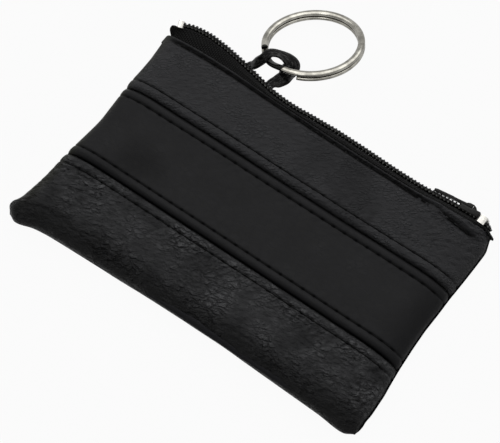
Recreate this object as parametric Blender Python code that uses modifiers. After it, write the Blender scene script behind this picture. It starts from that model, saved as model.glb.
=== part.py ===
"""Zipped key pouch of black leather strips, with a split ring on a leather strap.

It lies on its back. X runs along the zip, Y from the bottom fold to the zip, Z up.
The origin is the middle of the pouch's flat back. Lengths are in metres.
"""

import math

import bmesh
import bpy
from mathutils import Matrix, Vector

mm = 0.001

# Pouch
pouch_width = 112.0 * mm
pouch_height = 69.5 * mm
pouch_thickness = 9.0 * mm
leather_thickness = 0.8 * mm
lining_thickness = 0.25 * mm
gap = 0.3 * mm
side_seam_height = 3.2 * mm
front_roll = 12.0 * mm
back_roll = 4.0 * mm

# Seams between the strips, as distances up from the bottom fold
lower_seam_rise = 23.3 * mm
upper_seam_rise = 50.0 * mm
stitch_offset = 3.1 * mm
thread_thickness = 0.5 * mm
hem_stitch_inset = 1.6 * mm

# Zip
tape_thickness = 0.3 * mm
tape_seam_width = 6.0 * mm
tape_reach = 2.35 * mm
tape_end_reach = 1.6 * mm
zip_bow_radius = 444.0 * mm
zip_bow_offset = 20.0 * mm
zip_tilt = math.radians(20)
coil_width = 4.0 * mm
coil_thickness = 1.7 * mm
coil_channel = 0.9 * mm
tooth_pitch = 1.2 * mm
tooth_width = 0.7 * mm
tooth_length = 0.8 * mm
lip_inset_left = 15.3 * mm
lip_inset_right = 14.2 * mm
coil_end_inset = 1.4 * mm
side_margin = 3.5 * mm
tape_edge_share = 0.125
tape_turn_share = 0.36
tape_bend_share = 0.55
tape_bend_inset = 0.2 * mm
stop_length = 2.2 * mm
stop_wall = 0.5 * mm
lip_axis_offset = 0.3 * mm

# Slider and its pull tab
slider_length = 7.4 * mm
slider_tail_width = 5.5 * mm
slider_width = 5.8 * mm
slider_plate = 0.7 * mm
slider_clearance = 0.3 * mm
slider_wedge = 0.4 * mm
slider_park_inset = 9.5 * mm
slider_inner_width = 2.6 * mm
bail_length = 4.6 * mm
bail_width = 1.5 * mm
bail_bar = 0.65 * mm
bail_height = 2.0 * mm
tab_length = 12.0 * mm
tab_width = 3.8 * mm
tab_neck_width = 3.3 * mm
tab_thickness = 0.75 * mm
tab_eye_width = 2.1 * mm
tab_eye_length = 4.2 * mm
tab_crossbar = 0.9 * mm
tail_shares = ((-1, 0.86), (-0.9, 1), (-0.1, 1))
shoulder_shares = ((0.35, 1), (0.8, 1), (1, 0.7))
inner_tail_share = 0.8
wedge_share = 0.55
flange_share = 0.85
bail_bevel_share = 0.6
tab_corner_share = 0.3

# Strap and split ring
strap_width = 3.0 * mm
strap_thickness = 0.9 * mm
strap_left_inset = 24.1 * mm
strap_spread = 9.1 * mm
strap_flex_reach = 8.6 * mm
loop_reach = 6.4 * mm
loop_span = 13.3 * mm
loop_rise = 8.7 * mm
ring_diameter = 30.6 * mm
ring_wire_width = 2.1 * mm
ring_wire_height = 1.3 * mm
ring_turn_gap = 0.15 * mm
ring_eye_x = 7.4 * mm
ring_eye_y = 1.7 * mm
ring_eye_height = 8.7 * mm
table_clearance = 0.15 * mm
ring_lean_bearing = math.radians(141.4)
ring_reach_bearing = math.radians(69.3)
hang_angle = math.radians(34)
step_start_turn = 0.1
step_turn = 0.09
strap_corner_share = 0.3
wire_corner_share = 0.6
loop_shares = (
    (0, 0, 0),
    (0, 0.06, 0),
    (0, 0.25, 0),
    (0, 0.44, 0.02),
    (-0.01, 0.57, 0.12),
    (-0.015, 0.605, 0.30),
    (-0.015, 0.615, 0.50),
    (-0.01, 0.625, 0.70),
    (0.02, 0.64, 0.85),
    (0.10, 0.66, 0.96),
    (0.23, 0.70, 1.01),
    (0.38, 0.76, 1.02),
    (0.54, 0.86, 0.97),
    (0.70, 0.96, 0.88),
    (0.86, 1, 0.74),
    (0.97, 0.88, 0.58),
    (1, 0.72, 0.40),
    (0.985, 0.60, 0.20),
    (0.94, 0.50, 0.06),
    (0.86, 0.38, 0),
    (0.75, 0.20, 0),
    (0.684, 0.07, 0),
    (0.684, 0, 0),
)

# Segments
weld_distance = 0.003 * mm
panel_columns = 22
fold_rows = 12
tape_columns = 44
end_columns = 4
section_rows = 6
stitch_columns = 16
loop_steps = 3
wire_steps_per_turn = 36
roll_power = 2.2
flat_share = 0.16

half_width = pouch_width / 2
fold_y = -pouch_height / 2
hem_y = pouch_height / 2
lower_seam_y = fold_y + lower_seam_rise
upper_seam_y = fold_y + upper_seam_rise
front_tape_z = pouch_thickness - leather_thickness - gap - tape_thickness / 2
back_tape_z = leather_thickness + 2 * gap + strap_thickness + gap + tape_thickness / 2
zip_z = (front_tape_z + back_tape_z) / 2
coil_back = coil_thickness / 2 + gap + tape_thickness / 2
zip_low_y = hem_y + tape_reach + coil_back

colours = {
    "panel_leather": (0.012, 0.012, 0.014, 0.42, 0.0),
    "strip_leather": (0.008, 0.008, 0.009, 0.36, 0.0),
    "lining": (0.020, 0.020, 0.022, 0.9, 0.0),
    "thread": (0.006, 0.006, 0.006, 0.6, 0.0),
    "tape": (0.010, 0.010, 0.010, 0.85, 0.0),
    "coil": (0.012, 0.012, 0.012, 0.25, 0.0),
    "stop": (0.75, 0.74, 0.72, 0.3, 1.0),
    "slider": (0.03, 0.03, 0.03, 0.35, 0.6),
    "strap": (0.010, 0.010, 0.010, 0.4, 0.0),
    "ring": (0.72, 0.70, 0.66, 0.2, 1.0),
}


def material(name):
    """The Principled material of that name, made the first time it is asked for."""
    found = bpy.data.materials.get(name)
    if found:
        return found
    red, green, blue, roughness, metallic = colours[name]
    made = bpy.data.materials.new(name)
    made.use_nodes = True
    surface = made.node_tree.nodes["Principled BSDF"]
    surface.inputs["Base Color"].default_value = (red, green, blue, 1)
    surface.inputs["Roughness"].default_value = roughness
    surface.inputs["Metallic"].default_value = metallic
    return made


def make_collections():
    """One collection for the pouch's parts and one for its cutters and guides."""
    parts = bpy.data.collections.new("key_pouch")
    guides = bpy.data.collections.new("guides")
    for collection in (parts, guides):
        bpy.context.scene.collection.children.link(collection)
    return parts, guides


def add_object(name, data, colour):
    """Links a mesh or curve to the parts as one named object."""
    made = bpy.data.objects.new(name, data)
    parts.objects.link(made)
    if colour:
        data.materials.append(material(colour))
    return made


def as_guide(made):
    """Moves an object to the guides, where it is drawn as wire and never rendered."""
    parts.objects.unlink(made)
    guides.objects.link(made)
    made.hide_render = True
    made.display_type = "WIRE"
    return made


def add_axis(name, place):
    """An empty on a joint's axis, for the pieces that turn about it."""
    made = bpy.data.objects.new(name, None)
    guides.objects.link(made)
    made.location = place
    return made


def hang_on(made, axis):
    """Parents an object to an axis without moving it."""
    made.parent = axis
    made.matrix_parent_inverse = Matrix.Translation(-axis.location)


def sheet(name, colour, columns, rows, point_at, thickness, keep=None):
    """A sheet through point_at(u, v), with u and v from 0 to 1, thickened to both sides."""
    mesh = bpy.data.meshes.new(name)
    bm = bmesh.new()
    bmesh.ops.create_grid(bm, x_segments=columns, y_segments=rows, size=1)
    shares = {v: ((v.co.x + 1) / 2, (v.co.y + 1) / 2) for v in bm.verts}
    if keep:
        out = [f for f in bm.faces if not keep(*middle_share(f, shares))]
        bmesh.ops.delete(bm, geom=out, context="FACES")
    for v in bm.verts:
        v.co = point_at(*shares[v])
    bmesh.ops.recalc_face_normals(bm, faces=bm.faces)
    bm.to_mesh(mesh)
    bm.free()
    made = add_object(name, mesh, colour)
    skin = made.modifiers.new("thickness", "SOLIDIFY")
    skin.thickness = thickness
    skin.offset = 0
    skin.use_even_offset = True
    mesh.shade_smooth()
    return made


def middle_share(face, shares):
    """The mean u and v of a grid face."""
    count = len(face.verts)
    return (
        sum(shares[v][0] for v in face.verts) / count,
        sum(shares[v][1] for v in face.verts) / count,
    )


def to_mesh_object(made):
    """Turns a curve object into a mesh object of the same name, with its caps welded."""
    name = made.name
    graph = bpy.context.evaluated_depsgraph_get()
    mesh = bpy.data.meshes.new_from_object(made.evaluated_get(graph))
    bm = bmesh.new()
    bm.from_mesh(mesh)
    bmesh.ops.remove_doubles(bm, verts=bm.verts, dist=weld_distance)
    bmesh.ops.recalc_face_normals(bm, faces=bm.faces)
    bm.to_mesh(mesh)
    bm.free()
    place = made.matrix_world.copy()
    bpy.data.objects.remove(made)
    solid = add_object(name, mesh, None)
    solid.matrix_world = place
    return solid


def tube(name, colour, points, radius):
    """A round thread or wire through the points."""
    curve = bpy.data.curves.new(name, "CURVE")
    curve.dimensions = "3D"
    curve.bevel_depth = radius
    curve.bevel_resolution = 1
    curve.use_fill_caps = True
    spline = curve.splines.new("POLY")
    spline.points.add(len(points) - 1)
    for point, place in zip(spline.points, points):
        point.co = (*place, 1)
    return add_object(name, curve, colour)


def flat_outline(name, colour, outlines, thickness):
    """A flat plate from closed outlines in X and Y, centred on Z; inner outlines are holes."""
    curve = bpy.data.curves.new(name, "CURVE")
    curve.dimensions = "2D"
    curve.fill_mode = "BOTH"
    curve.extrude = thickness / 2
    for outline in outlines:
        spline = curve.splines.new("POLY")
        spline.points.add(len(outline) - 1)
        spline.use_cyclic_u = True
        for point, place in zip(spline.points, outline):
            point.co = (*place, 0, 1)
    return to_mesh_object(add_object(name, curve, colour))


def block(name, colour, low, high):
    """A box between two corners."""
    mesh = bpy.data.meshes.new(name)
    bm = bmesh.new()
    bmesh.ops.create_cube(bm, size=1)
    low, high = Vector(low), Vector(high)
    size = high - low
    bmesh.ops.scale(bm, vec=size, verts=bm.verts)
    bmesh.ops.translate(bm, vec=(low + high) / 2, verts=bm.verts)
    bm.to_mesh(mesh)
    bm.free()
    return add_object(name, mesh, colour)


def join_solids(base, others):
    """Unites the other solids with the base, keeps one mesh and removes the others."""
    for other in others:
        union = base.modifiers.new("union", "BOOLEAN")
        union.operation = "UNION"
        union.solver = "EXACT"
        union.object = other
    graph = bpy.context.evaluated_depsgraph_get()
    base.data = bpy.data.meshes.new_from_object(base.evaluated_get(graph))
    base.modifiers.clear()
    for other in others:
        bpy.data.objects.remove(other)
    return base


def smooth_line(points, steps):
    """Points read from a smooth curve through the given points."""
    ends = [points[0]] + list(points) + [points[-1]]
    line = []
    for before, start, end, after in zip(ends, ends[1:], ends[2:], ends[3:]):
        for step in range(steps):
            t = step / steps
            line.append(
                0.5
                * (
                    2 * start
                    + (end - before) * t
                    + (2 * before - 5 * start + 4 * end - after) * t**2
                    + (3 * start - before - 3 * end + after) * t**3
                )
            )
    line.append(points[-1])
    return line


def roll(distance, length):
    """How far a rolled edge has risen at a distance from it, from 0 at the edge to 1."""
    share = min(max(distance / length, 0), 1)
    return (1 - (1 - share) ** roll_power) ** (1 / roll_power)


def zip_y(x):
    """Middle of the zip's coil at x: it bows away from the hem towards both ends."""
    away = x - zip_bow_offset
    return zip_low_y + zip_bow_radius - math.sqrt(zip_bow_radius**2 - away**2)


def zip_slope(x):
    """Angle of the zip's line to X."""
    return math.asin((x - zip_bow_offset) / zip_bow_radius)


def zip_point(x, out, up):
    """A point near the coil at x, out from its middle and up across it; the zip leans back."""
    y = zip_y(x) + out * math.cos(zip_tilt) - up * math.sin(zip_tilt)
    return Vector((x, y, zip_z + up * math.cos(zip_tilt) + out * math.sin(zip_tilt)))


def zip_turn(x):
    """The turn of a piece that stands on the coil at x."""
    return zip_tilt, 0, zip_slope(x)


def edge_lift(side):
    """Half the gap that parts front from back at the side seam; it fades further in."""
    return gap / 2 * (1 - roll(side, front_roll))


def side_x(x, depth):
    """Brings x in from the sides by a depth, in proportion."""
    return x * (half_width - depth) / half_width


def front_point(x, y, depth):
    """A point a depth below the front's outer surface, kept that far inside the sides too."""
    side = half_width - abs(x)
    rise = (pouch_thickness - side_seam_height - depth) * roll(side, front_roll)
    return Vector((side_x(x, depth), y, side_seam_height + rise + edge_lift(side)))


def back_point(x, y, depth):
    """A point a depth above the back's outer surface, kept that far inside the sides too."""
    side = half_width - abs(x)
    fall = (side_seam_height - depth) * roll(side, back_roll)
    return Vector((side_x(x, depth), y, side_seam_height - fall - edge_lift(side)))


def column_x(u):
    """Spreads grid columns so that they crowd towards both sides."""
    return math.sin((u - 0.5) * math.pi) * half_width


def strip(name, colour, point_on, low_y, high_y):
    """A leather strip between two seams, on the front or the back."""

    def point_at(u, v):
        return point_on(column_x(u), low_y + (high_y - low_y) * v, leather_thickness / 2)

    return sheet(name, colour, panel_columns, 1, point_at, leather_thickness)


def folded_point(u, v, depth, top_y):
    """A sheet that runs down the back from top_y, round the fold and up the front again."""
    x = column_x(u)
    front = front_point(x, 0, depth)
    back = back_point(x, 0, depth)
    front_start, back_start = fold_y + front_roll, fold_y + back_roll
    if v < flat_share:
        y = top_y + (back_start - top_y) * v / flat_share
        return Vector((back.x, y, back.z))
    if v > 1 - flat_share:
        y = top_y + (front_start - top_y) * (1 - v) / flat_share
        return Vector((front.x, y, front.z))
    turn = (v - flat_share) / (1 - 2 * flat_share) * math.pi
    flat, start_y = (back, back_start) if turn < math.pi / 2 else (front, front_start)
    y = start_y - (start_y - fold_y - depth) * math.sin(turn)
    z = side_seam_height + (flat.z - side_seam_height) * abs(math.cos(turn))
    return Vector((flat.x, y, z))


def folded_sheet(name, colour, depth, top_y, thickness):
    """The leather or the lining that goes round the bottom fold."""
    return sheet(
        name,
        colour,
        panel_columns,
        fold_rows,
        lambda u, v: folded_point(u, v, depth, top_y),
        thickness,
    )


def make_outer_panels():
    """Five strips of leather: two in front, two on the back, one round the fold."""
    lower = lower_seam_y + gap / 2
    middle = upper_seam_y - gap / 2
    upper = upper_seam_y + gap / 2
    strip("front_top_panel", "panel_leather", front_point, upper, hem_y)
    strip("front_centre_strip", "strip_leather", front_point, lower, middle)
    strip("back_top_panel", "panel_leather", back_point, upper, hem_y)
    strip("back_centre_strip", "strip_leather", back_point, lower, middle)
    depth = leather_thickness / 2
    folded_sheet("bottom_panel", "panel_leather", depth, lower_seam_y - gap / 2, leather_thickness)


def make_lining():
    """The lining, folded inside the leather and sewn to the zip tapes."""
    depth = leather_thickness + gap + lining_thickness / 2
    top_y = hem_y - tape_seam_width - gap
    folded_sheet("lining_pocket", "lining", depth, top_y, lining_thickness)


def make_threads():
    """Topstitching beside both seams, the zip's seam, and the two side seams inside."""
    radius = thread_thickness / 2
    rows = (
        ("front_stitch_row_1", upper_seam_y + stitch_offset),
        ("front_stitch_row_2", upper_seam_y - stitch_offset),
        ("front_stitch_row_3", lower_seam_y + stitch_offset),
        ("front_stitch_row_4", lower_seam_y - stitch_offset),
        ("zip_stitch_row", hem_y - hem_stitch_inset),
    )
    for name, y in rows:
        spread = [column_x(i / stitch_columns) for i in range(1, stitch_columns)]
        tube(name, "thread", [front_point(x, y, -gap - radius) for x in spread], radius)
    depth = leather_thickness + lining_thickness + 2 * gap + radius
    for name, turn in (("side_stitch_left", -1), ("side_stitch_right", 1)):
        x = turn * (half_width - depth)
        ends = (fold_y + front_roll, hem_y - tape_seam_width - gap)
        tube(name, "thread", [Vector((x, y, side_seam_height)) for y in ends], radius)


def tape_section(x, facing):
    """The tape's cross-section at x: under the leather, out past the hem and up to the coil.

    facing is 1 for the front tape and -1 for the back one.
    """
    depth = pouch_thickness - front_tape_z if facing > 0 else back_tape_z
    outer_x = x * half_width / (half_width - depth - tape_thickness)
    point_on = front_point if facing > 0 else back_point
    flat_z = point_on(outer_x, 0, depth).z
    across = facing * coil_width
    bend = zip_point(x, -coil_back - tape_bend_inset, tape_bend_share * across)
    turn = zip_point(x, -coil_back, tape_turn_share * across)
    edge = zip_point(x, -coil_back, tape_edge_share * across)
    lip_y = hem_y + 2 * lip_axis_offset
    return [
        (hem_y - tape_seam_width, flat_z),
        (hem_y, flat_z),
        (lip_y, flat_z),
        ((lip_y + bend.y) / 2, (flat_z + bend.z) / 2),
        (bend.y, bend.z),
        (turn.y, turn.z),
        (edge.y, edge.z),
    ]


def even(low, high, steps):
    """Values from low to high, both ends included."""
    return [low + (high - low) * i / steps for i in range(steps + 1)]


def tape_sheet(name, xs, rows, facing, keep=None):
    """The part of a tape over the places xs and over some rows of its section."""
    columns = len(xs) - 1

    def point_at(u, v):
        x = xs[round(u * columns)]
        y, z = tape_section(x, facing)[rows[0] + round(v * (len(rows) - 1))]
        return Vector((x, y, z))

    return sheet(name, "tape", columns, len(rows) - 1, point_at, tape_thickness, keep)


def make_tapes():
    """The two tapes. The front one has a lip of its own, which folds up at the hem."""
    end_x = half_width - tape_end_reach
    sewn_x = half_width - side_margin
    low_x, high_x = lip_span()
    ends = even(-end_x, -sewn_x, 1) + even(-sewn_x, low_x - gap, end_columns)[1:]
    middle = even(low_x - gap, high_x + gap, tape_columns)[1:]
    xs = ends + middle + even(high_x + gap, sewn_x, end_columns)[1:] + [end_x]
    columns = len(xs) - 1

    def sewn(u, v):
        column, row = int(u * columns), int(v * section_rows)
        return row > 0 or 0 < column < columns - 1

    def fixed(u, v):
        column, row = int(u * columns), int(v * section_rows)
        outside = column <= end_columns or column >= columns - end_columns - 1
        return sewn(u, v) and (outside or row == 0)

    rows = range(section_rows + 1)
    tape_sheet("zip_tape_front", xs, rows, 1, fixed)
    tape_sheet("zip_tape_back", xs, rows, -1, sewn)
    lip = tape_sheet("zip_tape_lip", even(low_x, high_x, tape_columns), rows[2:], 1)
    return lip


def lip_span():
    """Where the front tape's lip starts and ends along X."""
    return -half_width + lip_inset_left, half_width - lip_inset_right


def tooth_spans(low_x, high_x, facing):
    """Where each tooth of a half of the coil starts and ends, clear of both its ends."""
    shift = 0 if facing > 0 else tooth_pitch / 2
    first = math.ceil((low_x + gap - shift) / tooth_pitch)
    last = math.floor((high_x - gap - shift - tooth_width) / tooth_pitch)
    starts = [shift + number * tooth_pitch for number in range(first, last + 1)]
    return [(start, start + tooth_width) for start in starts]


def comb(name, low_x, high_x, facing):
    """A stretch of one half of the coil: a spine with teeth towards the other half."""
    spans = tooth_spans(low_x, high_x, facing)
    xs = [low_x, *(x for span in spans for x in span), high_x]
    columns = len(xs) - 1
    tip = facing * coil_channel / 2
    root = tip + facing * tooth_length
    spine = facing * coil_width / 2
    mesh = bpy.data.meshes.new(name)
    bm = bmesh.new()
    bmesh.ops.create_grid(bm, x_segments=columns, y_segments=1, size=1)
    roots = {}
    for vertex in bm.verts:
        column = round((vertex.co.x + 1) / 2 * columns)
        if vertex.co.y < 0:
            roots[vertex] = column
        vertex.co = zip_point(xs[column], 0, root if vertex.co.y < 0 else spine)
    bases = [e for e in bm.edges if is_tooth_base([roots.get(v) for v in e.verts])]
    teeth = bmesh.ops.extrude_edge_only(bm, edges=bases)["geom"]
    for vertex in teeth:
        if isinstance(vertex, bmesh.types.BMVert):
            vertex.co = zip_point(vertex.co.x, 0, tip)
    bmesh.ops.recalc_face_normals(bm, faces=bm.faces)
    bm.to_mesh(mesh)
    bm.free()
    made = add_object(name, mesh, "coil")
    skin = made.modifiers.new("thickness", "SOLIDIFY")
    skin.thickness = coil_thickness
    skin.offset = 0
    return made


def is_tooth_base(columns):
    """Whether an edge of the spine's root row lies under a tooth."""
    return None not in columns and min(columns) % 2 == 1 and columns[0] != columns[1]


def make_coils():
    """The two halves of the coil; the front half is cut where the lip starts and ends."""
    start = -half_width + coil_end_inset
    end = half_width - coil_end_inset
    low_x, high_x = lip_span()
    comb("zip_coil_front_left", start, low_x - gap, 1)
    comb("zip_coil_front_right", high_x + gap, end, 1)
    comb("zip_coil_back", start, end, -1)
    return comb("zip_coil_lip", low_x, high_x, 1)


def stop_outline(inner_z, outer_z, closed):
    """A crimp round the coil in Y and Z: over its face and down its outer edges."""
    face = coil_thickness / 2 + gap
    outer_face = face + stop_wall
    edge = outer_z + math.copysign(stop_wall, outer_z)
    outline = [(-coil_thickness / 2, outer_z), (face, outer_z), (face, inner_z)]
    if closed:
        other = inner_z + math.copysign(stop_wall, inner_z)
        outline += [(-coil_thickness / 2, inner_z), (-coil_thickness / 2, other)]
        outline += [(outer_face, other)]
    else:
        outline += [(outer_face, inner_z)]
    return outline + [(outer_face, edge), (-coil_thickness / 2, edge)]


def stop(name, x, inner_z, outer_z, closed=False):
    """One metal stop, crimped on the coil at x."""
    outline = stop_outline(inner_z, outer_z, closed)
    made = flat_outline(name, "stop", [outline], stop_length)
    turn = Matrix(((0, 0, 1), (1, 0, 0), (0, 1, 0))).to_4x4()
    made.data.transform(turn)
    made.location = zip_point(x, 0, 0)
    made.rotation_euler = zip_turn(x)


def make_stops():
    """One stop across both halves at the left end, one on each half at the right end."""
    edge = coil_width / 2 + gap
    near = coil_channel / 2
    left = -half_width + coil_end_inset + stop_length
    right = half_width - coil_end_inset - stop_length
    stop("zip_stop_left", left, -edge, edge, closed=True)
    stop("zip_stop_right_front", right, near, edge)
    stop("zip_stop_right_back", right, -near, -edge)


def body_outline(tail, shoulder):
    """Outline of a slider plate: straight tail at the closed side, broad shoulders ahead."""
    half = slider_length / 2
    low = [(half * along, -tail / 2 * across) for along, across in tail_shares]
    low += [(half * along, -shoulder / 2 * across) for along, across in shoulder_shares]
    high = [(x, -z) for x, z in reversed(low)]
    return low + high


def make_slider_body():
    """The slider: two plates joined by a thin wedge, flanges at the coil, and a bail."""
    half = slider_length / 2
    outer_y = coil_thickness / 2 + slider_clearance
    inner_y = coil_back + tape_thickness / 2 + slider_clearance
    edge = coil_width / 2 + slider_clearance
    lie_up = Matrix.Rotation(math.pi / 2, 4, "X")
    outer = flat_outline(
        "slider_body", "slider", [body_outline(slider_tail_width, slider_width)], slider_plate
    )
    outer.data.transform(Matrix.Translation((0, outer_y + slider_plate / 2, 0)) @ lie_up)
    inner = flat_outline(
        "slider_inner_plate",
        None,
        [body_outline(slider_inner_width * inner_tail_share, slider_inner_width)],
        slider_plate,
    )
    inner.data.transform(Matrix.Translation((0, -inner_y - slider_plate / 2, 0)) @ lie_up)
    overlap = slider_plate / 2
    wedge = block(
        "slider_wedge",
        None,
        (-half * wedge_share, -inner_y - overlap, -slider_wedge / 2),
        (half * wedge_share, outer_y + overlap, slider_wedge / 2),
    )
    flanges = []
    wall = (slider_width / 2 - edge) * flange_share
    for turn in (-1, 1):
        low_z, high_z = sorted((turn * edge, turn * (edge + wall)))
        flanges.append(
            block(
                "slider_flange",
                None,
                (-half * flange_share, -coil_thickness / 2, low_z),
                (half * flange_share, outer_y + overlap, high_z),
            )
        )
    return join_solids(outer, [inner, wedge, *flanges, make_bail(outer_y + slider_plate)])


def make_bail(plate_y):
    """The arch on the slider's outer plate that the pull tab hangs from."""
    half = bail_length / 2
    foot = plate_y - slider_plate / 2
    top = plate_y + bail_height
    under = top - bail_bar
    bevel = top - bail_bar * bail_bevel_share
    outline = [(-half, foot), (-half, bevel), (-half + bail_bar, top), (half - bail_bar, top)]
    outline += [(half, bevel), (half, foot), (half - bail_bar, foot), (half - bail_bar, under)]
    outline += [(-half + bail_bar, under), (-half + bail_bar, foot)]
    return flat_outline("slider_bail", None, [outline], bail_width)


def tab_outlines():
    """The pull tab seen flat: its body tapers to the eye that runs round the bail."""
    bar = tab_crossbar / 2
    eye = tab_eye_width / 2
    end = -tab_length + bar
    neck, wide = tab_neck_width / 2, tab_width / 2
    corner = tab_width * tab_corner_share
    outer = [
        (bar, neck),
        (-tab_eye_length, neck),
        (-tab_eye_length - corner, wide),
        (end + corner, wide),
        (end, wide - corner),
    ]
    outer += [(x, -z) for x, z in reversed(outer)]
    hole = [(-bar, eye), (-bar, -eye), (-tab_eye_length, -eye), (-tab_eye_length, eye)]
    return [outer, hole]


def make_pull_tab(slider_axis):
    """The pull tab, lying back over the closed zip, with its origin on its own hinge."""
    tab = flat_outline("pull_tab", "slider", tab_outlines(), tab_thickness)
    tab.data.transform(Matrix.Rotation(math.pi / 2, 4, "X"))
    x = slider_x()
    reach = coil_thickness / 2 + slider_clearance + slider_plate + gap + tab_thickness / 2
    tab.rotation_euler = zip_turn(x)
    tab.location = zip_point(x, 0, 0) + tab.rotation_euler.to_matrix() @ Vector((0, reach, 0))
    bpy.context.view_layer.update()
    hang_on(tab, slider_axis)


def slider_x():
    """Where the slider is parked, at the closed end of the zip."""
    return half_width - slider_park_inset


def make_slider():
    """The slider and its tab, on the far axis that carries them along the bowed zip."""
    axis = add_axis("slider_axis", (zip_bow_offset, zip_low_y + zip_bow_radius, zip_z))
    body = make_slider_body()
    x = slider_x()
    body.location = zip_point(x, 0, 0)
    body.rotation_euler = zip_turn(x)
    bpy.context.view_layer.update()
    hang_on(body, axis)
    make_pull_tab(axis)


def bar_profile(name, width, height, share):
    """A guide curve: a flat bar's section with its corners cut off by a share of its height."""
    half_w, half_h = width / 2, height / 2
    corner = half_h * share
    quarter = [(half_w, half_h - corner), (half_w - corner, half_h)]
    upper = quarter + [(-x, y) for x, y in reversed(quarter)]
    outline = upper + [(-x, -y) for x, y in upper]
    curve = bpy.data.curves.new(name, "CURVE")
    curve.dimensions = "2D"
    line = curve.splines.new("POLY")
    line.points.add(len(outline) - 1)
    line.use_cyclic_u = True
    for point, place in zip(line.points, outline):
        point.co = (*place, 0, 1)
    return as_guide(add_object(name, curve, None))


def sweep(name, colour, profile, points):
    """A bar of the profile's section along the points, with its flat side up."""
    curve = bpy.data.curves.new(name, "CURVE")
    curve.dimensions = "3D"
    curve.twist_mode = "Z_UP"
    curve.bevel_mode = "OBJECT"
    curve.bevel_object = profile
    curve.use_fill_caps = True
    spline = curve.splines.new("POLY")
    spline.points.add(len(points) - 1)
    for point, place in zip(spline.points, points):
        point.co = (*place, 1)
    return to_mesh_object(add_object(name, curve, colour))


def band(name, points):
    """The strap's leather along a path."""
    profile = bar_profile(name + "_profile", strap_width, strap_thickness, strap_corner_share)
    return sweep(name, "strap", profile, points)


def strap_x(turn):
    """Middle of the strap's left end, for turn 0, or of its right end, for turn 1."""
    return -half_width + strap_left_inset + turn * strap_spread


def strap_base_z():
    """Middle of the strap's leather where it leaves the zip seam."""
    return leather_thickness + gap + strap_thickness / 2


def make_strap():
    """The strap: two ends sewn in under the back tape, and the loop that holds the ring."""
    flex_y = hem_y + strap_flex_reach
    z = strap_base_z()
    for turn, name in ((0, "strap_end_left"), (1, "strap_end_right")):
        x = strap_x(turn)
        band(name, [Vector((x, y, z)) for y in (hem_y - tape_seam_width + gap, flex_y - 2 * gap)])
    start = Vector((strap_x(0), flex_y, z))
    size = Vector((loop_span, loop_reach, loop_rise))
    path = [start + Vector([a * b for a, b in zip(size, share)]) for share in loop_shares]
    path[-1].x = path[-2].x = strap_x(1)
    loop = band("strap_loop", smooth_line(path, loop_steps))
    axis = add_axis("strap_axis", (0, flex_y, z))
    hang_on(loop, axis)
    return axis


def ring_frame():
    """The ring's middle and its turn: it passes the loop's eye and rests on the table."""
    eye = Vector((strap_x(0) + ring_eye_x, hem_y + strap_flex_reach + ring_eye_y, ring_eye_height))
    radius = (ring_diameter - ring_wire_width) / 2
    lean = Vector((math.cos(ring_lean_bearing), math.sin(ring_lean_bearing), 0))
    reach = Vector((math.cos(ring_reach_bearing), math.sin(ring_reach_bearing), 0))
    low_z = ring_wire_height + ring_turn_gap / 2 + table_clearance
    along = lean.dot(reach)
    tilt = math.asin((ring_eye_height - low_z) / (radius * (1 + along)))
    normal = (lean * math.sin(tilt) + Vector((0, 0, math.cos(tilt)))).normalized()
    towards = (reach - normal * reach.dot(normal)).normalized()
    centre = eye + towards * radius
    side = normal.cross(towards)
    turn = Matrix((towards, side, normal)).transposed()
    return centre, turn, radius


def ring_path(radius):
    """Two turns of the ring's wire, with one step up from the lower turn to the upper."""
    rise = (ring_wire_height + ring_turn_gap) / 2
    first = step_start_turn + step_turn / 2
    path = []
    steps = round(wire_steps_per_turn * (2 - 2 * step_turn))
    for i in range(steps + 1):
        turns = (i / steps) * (2 - 2 * step_turn) + step_turn
        across = (turns - 1 + step_turn / 2) / step_turn
        share = min(max(across, 0), 1)
        smooth = share * share * (3 - 2 * share)
        angle = (turns + first) * 2 * math.pi
        path.append(
            Vector((radius * math.cos(angle), radius * math.sin(angle), rise * (2 * smooth - 1)))
        )
    return path


def make_ring(strap_axis):
    """The split ring, with its origin on the line where it hangs in the loop."""
    centre, turn, radius = ring_frame()
    profile = bar_profile("ring_profile", ring_wire_width, ring_wire_height, wire_corner_share)
    ring = sweep("split_ring", "ring", profile, ring_path(radius))
    hang_y = -radius * math.cos(hang_angle)
    ring.data.transform(Matrix.Translation((-hang_y, 0, 0)))
    ring.matrix_world = Matrix.Translation(centre + turn @ Vector((hang_y, 0, 0))) @ turn.to_4x4()
    bpy.context.view_layer.update()
    hang_on(ring, strap_axis)


def make_lip():
    """The front tape's lip and its half of the coil, which turn about the hem."""
    axis = add_axis("lip_axis", (0, hem_y + lip_axis_offset, front_tape_z))
    for piece in (make_tapes(), make_coils()):
        hang_on(piece, axis)


def make_pouch():
    """Every piece of the pouch."""
    make_outer_panels()
    make_lining()
    make_threads()
    make_lip()
    make_stops()
    make_slider()
    make_ring(make_strap())


# The pouch
for old in list(bpy.data.objects):
    bpy.data.objects.remove(old)
parts, guides = make_collections()
make_pouch()
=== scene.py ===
import math

import bmesh
import bpy
import numpy as np
from mathutils import Matrix, Vector, noise


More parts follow.
